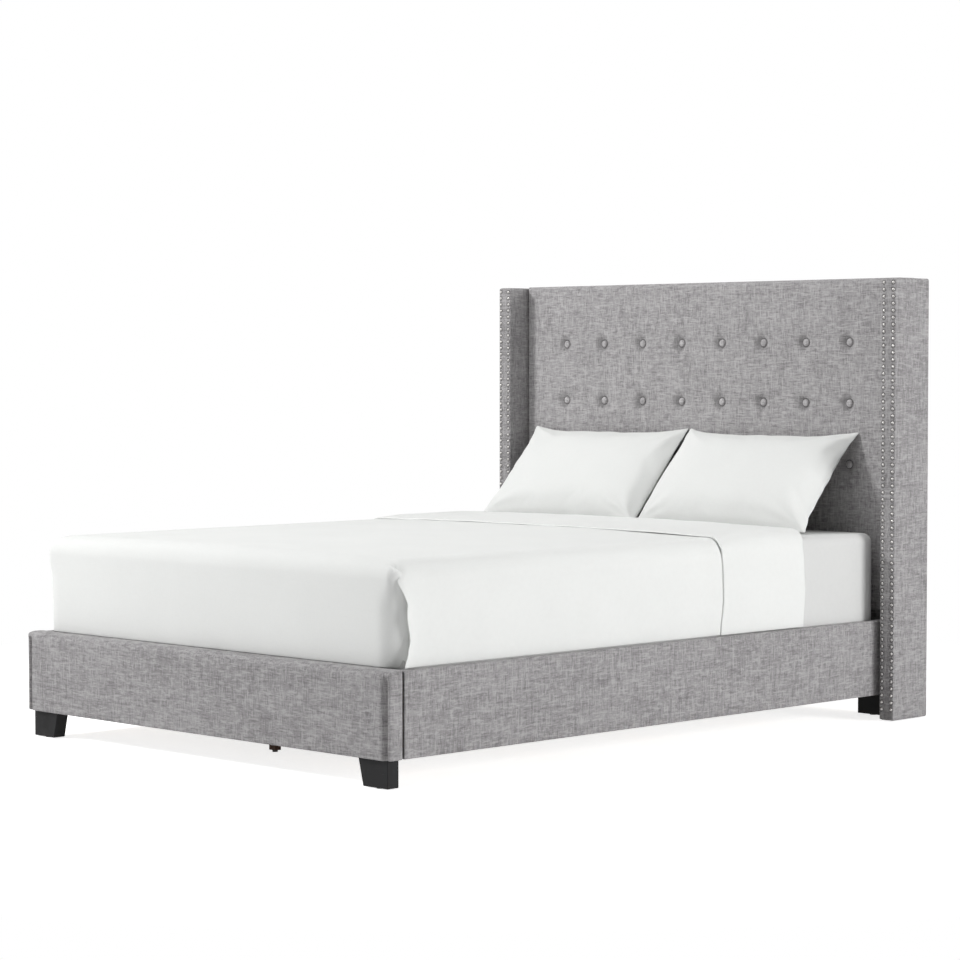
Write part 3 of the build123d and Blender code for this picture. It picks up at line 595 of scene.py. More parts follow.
def speckled_cloth(name, colour, spot, pitch):
    """Pressed lining and mattress cloth, with rows of small bond spots or stitches."""
    tree, shader, place = new_material(name)
    cells = add_node(tree, "ShaderNodeTexVoronoi", {"Vector": place, "Scale": 1 / pitch, "Randomness": 0.15})
    spots = remap(tree, cells.outputs["Distance"], 0.3, 0.18)
    fibres = scaled_noise(tree, place, 260.0, 4.0, 0.7)
    shown = blend(tree, product(tree, spots, 0.5), colour, spot)
    shown = blend(tree, remap(tree, fibres, 0.35, 0.7, 0.0, 0.35), shown, spot)
    surface(
        tree, shader, shown, remap(tree, fibres, 0.3, 0.7, 0.8, 0.95),
        (calc(tree, "SUBTRACT", fibres, spots), 0.0005, 0.7), {"Specular IOR Level": 0.2},
    )


def plywood(name, groups, colour, ply=0.0014):
    """Peeled veneer on the faces, with its layers showing at the edges. The layers lie across Y."""
    tree, shader, place = new_material(name)
    grain = add_group(tree, groups["timber"], place, {"Base": colour, "Contrast": 0.4})
    layers = calc(tree, "SINE", product(tree, split(tree, place)[1], math.pi / ply))
    normal = add_node(tree, "ShaderNodeNewGeometry").outputs["Normal"]
    across = calc(tree, "ABSOLUTE", split(tree, normal)[1])
    edge = product(tree, remap(tree, across, 0.6, 0.4), remap(tree, layers, -0.2, 0.2), 0.5)
    surface(
        tree, shader, blend(tree, edge, grain["Color"], (0.22, 0.13, 0.07, 1)),
        remap(tree, grain["Height"], -1.0, 0.3, 0.8, 0.6), (grain["Height"], 0.0003, 0.5),
    )


# Pieces

SIDES = ("left", "right")


def button_places(settings):
    """Middle of each button across and up, from the buttons' box."""
    radius = settings.button_radius
    low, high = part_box("tufting_buttons")
    return tuple(
        even(low[axis] + radius, high[axis] - radius, (high[axis] - low[axis] - 2 * radius) / (count - 1))
        for axis, count in ((0, settings.button_columns), (2, settings.button_rows))
    )


def nail_places(settings, side):
    """Both columns of a wing's nails, its lowest and highest nail, and the pitch between nails."""
    low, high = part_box(f"{side}_wing_nailheads")
    radius = settings.nail_radius
    pitch = (high.z - low.z - 2 * radius) / (settings.nail_rows - 1)
    return (low.x + radius, high.x - radius), low.z + radius, high.z - radius, pitch


class BED_OT_make_materials(Operator):
    """Build every finish of the bed once, by its plain name"""

    bl_idname = "bed.make_materials"
    bl_label = "Finishes"

    def execute(self, context):
        scene = context.scene
        upholstery, bedding = scene.bed_upholstery, scene.bed_bedding
        wood, trim = scene.bed_timber, scene.bed_trim
        groups = {
            "slub": slub_cloth_group(upholstery), "weave": plain_weave_group(), "timber": timber_group(),
            "scuff": scuff_group(),
        }
        nails = (*nail_places(trim, "right"), trim.nail_radius * 1.75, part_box("right_wing_cover")[0].y)
        columns, rows = button_places(upholstery)
        grid = [(places[0], places[1] - places[0]) for places in (columns, rows)]
        buttons = (*grid, rows[-1], upholstery.button_radius)
        linen("grey linen", groups, upholstery)
        # The panel's linen is a lighter copy, 1.12 times the threads' colour: partly painted light making up
        # for the panel's greater distance from the main lamp, partly a lighter tone of its own.
        linen("grey linen panel", groups, upholstery, 1.12, buttons=buttons)
        # The buttons' linen is a lighter copy, 1.32 times the threads' colour: partly painted light for
        # their lit crowns, partly tighter cloth.
        linen("grey linen button", groups, upholstery, 1.32)
        linen("grey linen wing", groups, upholstery, nails=nails)
        cotton("white cotton", groups, bedding.cotton)
        cotton("fitted cotton", groups, bedding.fitted_cotton)
        cotton("white coverlet", groups, bedding.cotton, thread=0.0016, crease=0.0016)
        cotton("pillow cotton", groups, bedding.cotton, thread=0.001, crease=0.002)
        cotton("foundation cloth", groups, (0.72, 0.71, 0.68, 1), thread=0.0018, crease=0.0008)
        speckled_cloth("mattress ticking", (0.78, 0.77, 0.74, 1), (0.6, 0.6, 0.6, 1), 0.009)
        speckled_cloth("back lining", (0.028, 0.028, 0.03, 1), (0.05, 0.05, 0.052, 1), 0.0022)
        timber("black wood", groups, wood.black_lacquer, contrast=0.5, rough=(0.5, 0.65), gloss=0.16)
        timber("brown wood", groups, wood.brown_stain, contrast=0.7, rough=(0.4, 0.6), gloss=0.2)
        timber("pine along", groups, wood.pine, (math.pi / 2, 0, 0))
        timber("pine across", groups, wood.pine, (0, math.pi / 2, 0))
        timber("pine upright", groups, wood.pine)
        plywood("plywood", groups, (0.66, 0.5, 0.32, 1))
        metal("nickel", groups, trim.nickel, (0.3, 0.46))
        metal("black steel", groups, (0.03, 0.03, 0.032, 1), (0.45, 0.6), metallic=0.6, grain=0.0004)
        metal("zinc", groups, (0.62, 0.63, 0.64, 1), (0.28, 0.45))
        metal("glide plastic", groups, (0.05, 0.05, 0.05, 1), (0.4, 0.6), metallic=0.0)
        return {"FINISHED"}


class BED_OT_make_headboard_pad(Operator):
    """Tufted pad with a soft hollow and upright pulls at each button"""

    bl_idname = "bed.make_headboard_pad"
    bl_label = "Headboard pad"

    def execute(self, context):
        settings = context.scene.bed_upholstery
        low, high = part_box("headboard_pad")
        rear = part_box("headboard_panel")[0].y
        under_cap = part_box("headboard_top_rail")[1].z
        low.x += settings.wing_gap
        high.x -= settings.wing_gap
        slab_high = Vector((high.x, rear, high.z))
        rims = (0.016, 0.016, high.z - under_cap)
        bm = rounded_box(low, slab_high, (0.0075, 0.008, 0.0075), rims, (5, 5, 5), ())
        upper = [f for f in bm.faces if f.normal.y > 0.9 and f.calc_center_median().z > under_cap]
        grown = bmesh.ops.extrude_face_region(bm, geom=upper)["geom"]
        bmesh.ops.delete(bm, geom=upper, context="FACES_ONLY")
        for vert in (g for g in grown if isinstance(g, bmesh.types.BMVert)):
            vert.co.y = high.y
        ridge = [e for e in bm.edges if all(min(v.co.y - high.y, v.co.z - high.z) > -1e-5 for v in e.verts)]
        bmesh.ops.bevel(bm, geom=ridge, offset=0.006, segments=3, profile=0.5, affect="EDGES", material=-1)
        round_edges(bm, (1, 2), low, slab_high, (0.006, 0, 0, 0.015))
        round_edges(bm, (0, 1), low, slab_high, (0.015, 0.015, 0, 0))
        columns, rows = button_places(settings)
        pull_width, pull_length, crossing_share = 0.0085, 0.055, 0.4
        crossing_width, crossing_length = 0.008, 0.04

        def pull(place):
            front = 1 - ease(place.y, low.y + 0.012, low.y + 0.03)
            if not front:
                return Vector((0, 0, 0))
            depth = 0
            for aside in (abs(place.x - x) for x in columns if abs(place.x - x) <= 0.1):
                for up in (abs(place.z - z) for z in rows):
                    rise = max(0, math.hypot(aside, up) - settings.button_radius) / settings.tuft_reach
                    upright = math.exp(-((aside / pull_width) ** 2)) * math.exp(-up / pull_length)
                    level = math.exp(-((up / crossing_width) ** 2)) * math.exp(-aside / crossing_length)
                    depth += settings.tuft_depth * max(0, 1 - rise) ** 2
                    depth += settings.pull_depth * (upright + crossing_share * level)
            rim = min(place.x - low.x, high.x - place.x, high.z - place.z)
            puff = 0.0018 * ripple(place, (4.2, 0, 5.0)) * ease(rim, 0.0, 0.12)
            return Vector((0, front * (min(depth, settings.tuft_depth * 1.02) - puff), 0))

        shape(bm, pull)
        finish_piece(bm, "headboard_cushion", "headboard_pad", "grey linen panel")
        return {"FINISHED"}


class BED_OT_make_buttons(Operator):
    """Cloth-covered buttons in the tufts"""

    bl_idname = "bed.make_buttons"
    bl_label = "Buttons"

    def execute(self, context):
        settings = context.scene.bed_upholstery
        low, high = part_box("tufting_buttons")
        radius, crown, widest = settings.button_radius, 2.5, 1.25
        size = Matrix.Diagonal((radius, high.y - low.y, radius, 1)) @ Matrix.Rotation(math.pi / 2, 4, "X")
        columns, rows = button_places(settings)
        bm = bmesh.new()
        for x in columns:
            for z in rows:
                place = Matrix.Translation((x, high.y, z)) @ size
                ball = bmesh.ops.create_uvsphere(bm, u_segments=24, v_segments=16, radius=1, matrix=place)
                for vert in ball["verts"]:
                    out = (high.y - vert.co.y) / (high.y - low.y)
                    dome = max(math.sqrt(max(1 - out * out, 1e-9)), 1e-4)
                    full = min((1 - abs(out) ** crown) ** (1 / crown) / dome, widest)
                    vert.co.x = x + (vert.co.x - x) * full
                    vert.co.z = z + (vert.co.z - z) * full
        finish_piece(bm, "covered_buttons", "tufting_buttons", "grey linen button", 80)
        return {"FINISHED"}


class BED_OT_make_wings(Operator):
    """Padded wings with crisp front edges"""

    bl_idname = "bed.make_wings"
    bl_label = "Wings"

    def execute(self, context):
        settings = context.scene.bed_upholstery
        for side in SIDES:
            low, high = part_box(f"{side}_wing_cover")
            rounds = (
                ((1, 2), (0.008, 0.006, 0.006, 0.008)), ((0, 2), (0.006,) * 4),
                ((0, 1), (0.003, 0.003, 0.008, 0.008)),
            )
            bm = rounded_box(low, high, (0.007, 0.012, 0.016), (0.008, 0.01, 0.012), (5, 5, 5), rounds)

            def swell(place):
                aside = place.x - (low.x + high.x) / 2
                out = ease(abs(aside), 0.018, 0.0265) * math.copysign(1, aside)
                across = hump(place.y, low.y, high.y) ** 0.6
                along = ease(border(place, low, high, 2), 0, 0.05)
                soft = settings.cloth_crown * (1 + 0.6 * ripple(place, (1, 9, 5)))
                return Vector((out * across * along * soft, 0, 0))

            shape(bm, swell)
            finish_piece(
                bm, f"{side}_wing_upholstery", f"{side}_wing_cover", "grey linen wing",
            )
        return {"FINISHED"}


class BED_OT_make_nailheads(Operator):
    """Domed nailheads, two rows down the front of each wing"""

    bl_idname = "bed.make_nailheads"
    bl_label = "Nailheads"

    def execute(self, context):
        settings = context.scene.bed_trim
        radius, sunk = settings.nail_radius, 0.0004
        size = Matrix.Diagonal((radius, settings.nail_height + sunk, radius, 1))
        size = size @ Matrix.Rotation(math.pi / 2, 4, "X")
        for side in SIDES:
            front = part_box(f"{side}_wing_cover")[0].y
            columns, first, _, pitch = nail_places(settings, side)
            bm = bmesh.new()
            for x in columns:
                for row in range(settings.nail_rows):
                    place = Matrix.Translation((x, front + sunk, first + row * pitch))
                    bmesh.ops.create_uvsphere(bm, u_segments=10, v_segments=6, radius=1, matrix=place @ size)
            bmesh.ops.bisect_plane(
                bm, geom=bm.verts[:] + bm.edges[:] + bm.faces[:], dist=1e-6,
                plane_co=(0, front + 2 * sunk, 0), plane_no=(0, 1, 0), clear_outer=True,
            )
            bmesh.ops.holes_fill(bm, edges=[e for e in bm.edges if e.is_boundary])
            finish_piece(
                bm, f"{side}_nailhead_trim", f"{side}_wing_nailheads", "nickel", 60,
            )
        return {"FINISHED"}


class BED_OT_make_footboard(Operator):
    """Footboard with a rolled top and a valley beside each corner"""

    bl_idname = "bed.make_footboard"
    bl_label = "Footboard"

    def execute(self, context):
        settings = context.scene.bed_upholstery
        low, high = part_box("footboard_cover")
        valley_width = 0.0072
        bm = rounded_box(low, high, (0.012, 0.008, 0.01), (0.032, 0.02, 0.022), (12, 5, 6), (
            ((1, 2), (0.004, 0.004, 0.009, 0.022)), ((0, 2), (0.004, 0.004, 0.008, 0.008)),
            ((0, 1), (0.009, 0.009, 0.008, 0.008)),
        ))

        def soften(place):
            end = high.x - abs(place.x)
            front = 1 - ease(place.y, low.y + 0.006, low.y + 0.024)
            below_top = 1 - ease(place.z, high.z - 0.03, high.z - 0.006)
            valley = math.exp(-(((end - settings.valley_inset) / valley_width) ** 2)) * settings.valley_depth
            upright = hump(place.z, low.z, high.z) ** 0.5
            swell = settings.cloth_crown * upright * (1 + 0.8 * ripple(place, (3, 1, 6)))
            swell *= ease(end, 0.01, 0.06)
            side = ease(-end, -0.006, -0.001) * 0.004 * hump(place.y, low.y, high.y) * below_top
            return Vector((math.copysign(side, place.x), front * (valley * below_top - swell), 0))

        shape(bm, soften)
        finish_piece(bm, "footboard_upholstery", "footboard_cover", "grey linen")
        return {"FINISHED"}


class BED_OT_make_side_rails(Operator):
    """Side rails in stretched linen"""

    bl_idname = "bed.make_side_rails"
    bl_label = "Side rails"

    def execute(self, context):
        settings = context.scene.bed_upholstery
        for side in SIDES:
            low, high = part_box(f"{side}_rail_cover")
            rounds = (((0, 2), (0.0035,) * 4), ((1, 2), (0.003,) * 4), ((0, 1), (0.003,) * 4))
            bm = rounded_box(low, high, (0.006, 0.03, 0.012), (0.005, 0.01, 0.008), (3, 3, 4), rounds)
            outer = high.x if side == "right" else low.x

            def swell(place):
                out = 1 - ease(abs(place.x - outer), 0.001, 0.01)
                upright = hump(place.z, low.z, high.z) ** 0.5
                along = ease(border(place, low, high, 1), 0, 0.04)
                soft = settings.cloth_crown * (1 + 0.8 * ripple(place, (1, 2.4, 7)))
                return Vector((math.copysign(out * upright * along * soft, outer), 0, 0))

            shape(bm, swell)
            finish_piece(
                bm, f"{side}_rail_upholstery", f"{side}_rail_cover", "grey linen",
            )
        return {"FINISHED"}


class BED_OT_make_apron(Operator):
    """Linen-covered apron under the headboard pad"""

    bl_idname = "bed.make_apron"
    bl_label = "Apron"

    def execute(self, context):
        settings = context.scene.bed_upholstery
        low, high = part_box("headboard_apron")
        rounds = (((1, 2), (0.004, 0, 0, 0.004)),)
        bm = rounded_box(low, high, (0.03, 0.008, 0.02), (0.008, 0.006, 0.008), (3, 3, 3), rounds)

        def swell(place):
            front = 1 - ease(place.y, low.y + 0.002, low.y + 0.014)
            soft = hump(place.z, low.z, high.z) * (0.7 + 0.6 * ripple(place, (3, 1, 5)))
            along = ease(high.x - abs(place.x), 0, 0.05)
            return Vector((0, -front * along * soft * settings.cloth_crown, 0))

        shape(bm, swell)
        finish_piece(bm, "apron_upholstery", "headboard_apron", "grey linen")
        return {"FINISHED"}


class BED_OT_make_lining(Operator):
    """Pressed cloth stretched over the headboard's back, slack away from its edges"""

    bl_idname = "bed.make_lining"
    bl_label = "Back lining"

    def execute(self, context):
        low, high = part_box("headboard_back_lining")
        middle = (low + high) / 2
        width, height = high.x - low.x, high.z - low.z
        cell = 0.018
        bm = bmesh.new()
        bmesh.ops.create_grid(
            bm, x_segments=round(width / cell), y_segments=round(height / cell), size=0.5,
            matrix=Matrix.Translation((middle.x, high.y, middle.z)) @ Matrix.Diagonal((width, 1, height, 1))
            @ Matrix.Rotation(math.pi / 2, 4, "X"),
        )

        def slacken(place):
            slack = ease(border(place, low, high, 0, 2), 0.012, 0.03)
            wave = 0.5 + 0.5 * ripple(place, (16, 0, 16))
            return Vector((0, -slack * 0.0011 * wave - 0.0002, 0))

        shape(bm, slacken)
        bmesh.ops.reverse_faces(bm, faces=[f for f in bm.faces if f.normal.y < 0])
        piece = finish_piece(
            bm, "back_lining_cloth", "headboard_back_lining", "back lining", 40,
        )
        thicken(piece, 0.0008)
        return {"FINISHED"}


def taped_block(low, high, corner, edge, bead, bead_inset, step):
    """A mattress-like block with a taped bead round its upper and lower edge."""
    rounds = (((0, 2), (edge,) * 4), ((1, 2), (edge,) * 4), ((0, 1), (corner,) * 4))
    bm = rounded_box(low, high, (step, step, 0.016), (corner, corner, bead_inset * 2), (6, 6, 10), rounds)
    middle = (low + high) / 2
    half = high - middle
    bead_width = 0.0042

    def tape(place):
        out = place - middle
        side = ease(max(abs(out[i]) / half[i] for i in (0, 1)), 0.955, 0.985)
        near = min(abs(place.z - low.z - bead_inset), abs(high.z - bead_inset - place.z))
        line = [math.copysign(ease(abs(out[i]), half[i] - 0.06, half[i] - 0.004), out[i]) for i in (0, 1)]
        line = Vector((*line, 0)).normalized()
        swell = math.exp(-((near / bead_width) ** 2)) - 0.35 * hump(place.z, low.z, high.z)
        return line * side * bead * swell

    shape(bm, tape)
    return bm


class BED_OT_make_foundation(Operator):
    """Box foundation in plain cloth with a piped edge"""

    bl_idname = "bed.make_foundation"
    bl_label = "Foundation"

    def execute(self, context):
        low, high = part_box("foundation")
        skin = Vector((0.0025, 0.0025, 0))
        bm = taped_block(low + skin, high - skin, 0.03, 0.01, 0.0025, 0.012, 0.06)
        finish_piece(
            bm, "foundation_block", "foundation", "foundation cloth",
            body="foundation",
        )
        return {"FINISHED"}


class BED_OT_make_mattress(Operator):
    """Mattress with a quilted panel and taped edges"""

    bl_idname = "bed.make_mattress"
    bl_label = "Mattress"

    def execute(self, context):
        low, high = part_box("mattress")
        skin, top = Vector((0.004, 0.004, 0.0)), Vector((0, 0, 0.0015))
        bm = taped_block(low + skin, high - skin - top, 0.05, 0.026, 0.003, 0.028, 0.03)
        stitch, puff_height = 28, 0.0015

        def quilt(place):
            inside = ease(border(place, low, high, 0, 1), 0.05, 0.12)
            under = 1 - ease(place.z, low.z + 0.002, low.z + 0.02)
            puff = 1 - abs(math.sin(place.x * stitch) * math.sin(place.y * stitch))
            return Vector((0, 0, inside * under * puff_height * puff))

        shape(bm, quilt)
        finish_piece(
            bm, "mattress_core", "mattress", "mattress ticking",
            body="mattress",
        )
        return {"FINISHED"}


class BED_OT_make_fitted_sheet(Operator):
    """Fitted sheet over the mattress, gathered at its hem"""

    bl_idname = "bed.make_fitted_sheet"
    bl_label = "Fitted sheet"

    def execute(self, context):
        settings = context.scene.bed_bedding
        low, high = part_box("fitted_sheet")
        bm = rounded_box(low, high, (0.02, 0.02, 0.014), (0.055, 0.055, 0.032), (10, 10, 6), ())
        drop_faces(bm, lambda middle, normal: normal.z < -0.9)
        edge = (0, 0, 0.03, 0.03)
        for axes, radii in (((0, 2), edge), ((1, 2), edge), ((0, 1), (0.05,) * 4)):
            round_edges(bm, axes, low, high, radii)
        middle = (low + high) / 2
        half = high - middle

        def gather(place):
            out = place - middle
            out.z = 0
            corner = ease(min(abs(out[i]) / half[i] for i in (0, 1)), 0.8, 0.97)
            hem = 1 - ease(place.z, low.z, low.z + 0.11)
            drop = 1 - ease(place.z, high.z - 0.035, high.z - 0.01)
            pucker = ripple(place, (34, 34, 3)) * hem * (0.4 + 1.6 * corner)
            soft = 0.0005 * ripple(place, (6, 6, 5), 3.1) * drop
            for i in (0, 1):
                out[i] *= ease(abs(out[i]), half[i] - 0.05, half[i])
            return out.normalized() * (0.0011 * pucker - 0.0005 * hem + soft) * drop

        shape(bm, gather)
        piece = finish_piece(
            bm, "fitted_sheet_cloth", "fitted_sheet", "fitted cotton", 70, body="mattress",
        )
        thicken(piece, settings.sheet_thickness)
        return {"FINISHED"}


# Free edge of the foot pleat: share of the drop's height, and distance from the crease towards the foot.
# Above the last smooth stop the edge runs straight.
PLEAT_LINE = (
    (0.0, 0.0105), (0.15, 0.0), (0.24, -0.0065), (0.5, 0.003), (0.59, 0.0015), (0.88, 0.032), (0.95, 0.036),
)
LAST_SMOOTH_STOP = 0.59
FOLD_REACH = 0.12
# The far foot corner looks almost plain, so its pleat is this share of the near one.
FAR_PLEAT = 0.4


class BED_OT_make_coverlet(Operator):
    """Coverlet draped over the foot and sides, with a pleat at each foot corner"""

    bl_idname = "bed.make_coverlet"
    bl_label = "Coverlet"

    def execute(self, context):
        settings = context.scene.bed_bedding
        low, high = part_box("coverlet")
        top = high.z - settings.crown
        edge_high = Vector((high.x, high.y, top))
        rim, corner, depth = settings.edge_radius, 0.034, 0.036
        crease, fold_end, hem = low.y + depth, low.y + FOLD_REACH, low.z + 0.03
        cell, fold_cell, slit = 0.014, 0.0036, 0.0008
        bm = sliced_box(
            graded(low.x, high.x, cell, rim + 0.005, 15),
            even(low.y, crease - slit, fold_cell) + even(crease + slit, fold_end, fold_cell)
            + even(fold_end, high.y, cell)[1:],
            even(low.z, hem, 0.005)[:-1] + even(hem, top - rim, 0.008)[:-1] + even(top - rim, top, 0.0045),
        )
        drop_faces(bm, lambda middle, normal: normal.z < -0.9 or normal.y > 0.9)
        for axes, radii in (
            ((0, 2), (0, 0, rim, rim)), ((1, 2), (0, 0, 0, rim)), ((0, 1), (corner, corner, 0, 0)),
        ):
            round_edges(bm, axes, low, edge_high, radii)

        def drape(place):
            share = (place.z - low.z) / (top - low.z)
            aside = high.x - abs(place.x)
            sway = settings.drop_wave * (1 - share) ** 0.8
            side = 1 - ease(aside, 0.006, 0.03)
            hang = 1 - ease(place.z, top - 0.07, top - 0.02)
            past_pleat = ease(place.y, low.y + 0.07, low.y + 0.2)
            wave = ripple(place, (0, 3.1, 0.4), 1.7) + 0.35 * ripple(place, (0, 8.3, 0.8), 4.0)
            out = math.copysign(side * hang * past_pleat * sway * (wave + 0.35), place.x)
            front = 1 - ease(place.y, low.y + 0.008, low.y + 0.05)
            wave = ripple(place, (2.7, 0, 0.4), 2.3) + 0.4 * ripple(place, (7.0, 0, 0.8), 6.0)
            inside = ease(aside, 0.02, 0.15)
            back = front * (0.004 * (1 - share) - 0.006 * share - hang * inside * sway * 0.8 * wave)
            inner = ease(min(aside, place.y - low.y), 0.0, 0.16)
            wave = 0.0022 * ripple(place, (2.3, 1.7, 0)) + 0.0008 * ripple(place, (9, 3.0, 0), 5.0)
            rise = settings.crown * (1 - (place.x / high.x) ** 2) + inner * wave
            return Vector((out, back, ease(place.z, top - 0.05, top) * rise))

        bend, lip_run, notch_middle, notch_width = settings.pleat_bend, 0.03, 0.012, 0.008
        turn_in = depth - corner
        turn_out = turn_in + corner * math.pi / 2
        bend_lead = bend * math.asin(1 - depth / bend)
        bend_reach = corner + FOLD_REACH - turn_out - bend + bend * math.pi / 2 - bend_lead

        def outline(along, radius=corner, lead=-turn_in):
            """Place and outward way at a distance from the crease towards the foot, seen from above."""
            turn = min(max(0, along + lead), radius * math.pi / 2)
            out = Vector((math.cos(turn / radius), -math.sin(turn / radius), 0))
            place = Vector((high.x - radius, low.y + radius, 0)) + out * radius
            place.x -= max(0, along + lead - radius * math.pi / 2)
            place.y -= min(0, along + lead)
            return place, out

        def distance(place):
            """Distance from the crease towards the foot, along the outline."""
            aside, ahead = abs(place.x) - high.x + corner, low.y + corner - place.y
            if ahead < 0:
                return crease - place.y
            if aside < 0:
                return turn_out - aside
            return turn_in + corner * math.atan2(ahead, aside)

        def fold(place):
            along = distance(place)
            share = (place.z - low.z) / (top - low.z)
            if abs(along) > FOLD_REACH or abs(place.x) < high.x - corner - FOLD_REACH:
                return Vector((0, 0, 0))
            line = through(share, PLEAT_LINE, share > LAST_SMOOTH_STOP) * (1 - ease(share, 0.8, 0.9))
            opened = 1 - ease(share, 0.68, 0.87)
            near = 1 - abs(along) / FOLD_REACH
            lift = 0
            if along > 0:
                shift = near * (line - settings.pleat_lap * opened * near)
                wide = outline(along * bend_reach / FOLD_REACH + shift, bend, bend_lead)[0]
                end = outline(along + shift)[0].lerp(wide, 1 - ease(share, 0.5, 0.85))
                notch = math.exp(-(((along - notch_middle) / notch_width) ** 2))
                lift = settings.pleat_notch * notch * (1 - ease(share, 0.0, 0.14))
            else:
                end, way = outline(along + near * line)
                end += way * settings.pleat_lip * math.exp(along / lip_run) * opened
            step = end - outline(along)[0]
            if place.x < 0:
                return Vector((-step.x, step.y, lift)) * FAR_PLEAT
            return Vector((step.x, step.y, lift))

        shape(bm, lambda place: fold(place) + drape(place))
        piece = finish_piece(
            bm, "coverlet_cloth", "coverlet", "white coverlet", 100, body="mattress",
        )
        thicken(piece, settings.coverlet_thickness, 0.0012)
        return {"FINISHED"}


# Edges of the turned-down sheet's drops: height above the floor, and shift towards the headboard
CUFF_FOOT_EDGE = ((0.316, -0.006), (0.43, 0.008), (0.5, 0.006), (0.58, -0.002), (0.62, 0.0))
CUFF_HEAD_EDGE = ((0.317, -0.005), (0.431, 0.004), (0.523, -0.001), (0.57, -0.008), (0.61, -0.003))


class BED_OT_make_turned_sheet(Operator):
    """Top sheet turned down over the coverlet, with a soft nose where it folds"""

    bl_idname = "bed.make_turned_sheet"
    bl_label = "Turned-down sheet"

    def execute(self, context):
        settings = context.scene.bed_bedding
        low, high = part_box("turned_down_sheet")
        sheet_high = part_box("fitted_sheet")[1]
        top = high.z - settings.crown
        cover_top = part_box("coverlet")[1].z - settings.crown
        edge_high = Vector((high.x, high.y, top))
        rim, nose, cuff, clearance = settings.edge_radius, 0.006, 0.003, 0.003
        bm = sliced_box(
            graded(low.x, high.x, 0.014, rim + 0.005, 14), graded(low.y, high.y, 0.012, 0.014, 6),
            even(low.z, top - rim, 0.012)[:-1] + even(top - rim, top, 0.0045),
        )

        def inside_end(middle, normal):
            if abs(normal.y) < 0.9:
                return normal.z < -0.9
            reach = 0.006 if normal.y < 0 else top - sheet_high.z - 0.002
            side = 0.004 if normal.y < 0 else high.x - sheet_high.x - 0.001
            return middle.z < top - reach and abs(middle.x) < high.x - side

        drop_faces(bm, inside_end)
        for axes, radii in (
            ((0, 2), (0, 0, rim, rim)), ((1, 2), (0, 0, nose, cuff)), ((0, 1), (cuff, cuff, 0.008, 0.008)),
        ):
            round_edges(bm, axes, low, edge_high, radii)

        def drape(place):
            aside = high.x - abs(place.x)
            side = 1 - ease(aside, 0.006, 0.03)
            hang = 1 - ease(place.z, top - 0.05, top - 0.012)
            wave = 0.6 + ripple(place, (0, 5.5, 1.5), 9.0)
            sway = settings.drop_wave * (1 - 0.5 * (place.z - low.z) / (top - low.z))
            share = (place.y - low.y) / (high.y - low.y)
            edge = (1 - share) * through(place.z, CUFF_FOOT_EDGE) + share * through(place.z, CUFF_HEAD_EDGE)
            end = 0.004 * ripple(place, (4.0, 0, 0), 3.0) * (1 - hump(place.y, low.y, high.y))
            ruffle = 0.0015 * ripple(place, (3.0, 6, 0), 2.0) + 0.001 * ripple(place, (9, 3, 0), 7.0)
            rise = settings.crown * (1 - (place.x / high.x) ** 2) + ease(aside, 0.0, 0.12) * ruffle
            settle = (1 - ease(place.y, low.y, low.y + 0.12)) * ease(place.z, top - rim - 0.005, top)
            return Vector((
                math.copysign(side * hang * sway * wave, place.x),
                side * edge + (1 - side) * end,
                ease(place.z, top - 0.05, top) * rise
                - settle * (top - cover_top - settings.cuff_thickness - clearance),
            ))

        shape(bm, drape)
        piece = finish_piece(
            bm, "turned_sheet_cloth", "turned_down_sheet", "white cotton", 100,
            body="mattress",
        )
        thicken(piece, settings.cuff_thickness, 0.001)
        return {"FINISHED"}


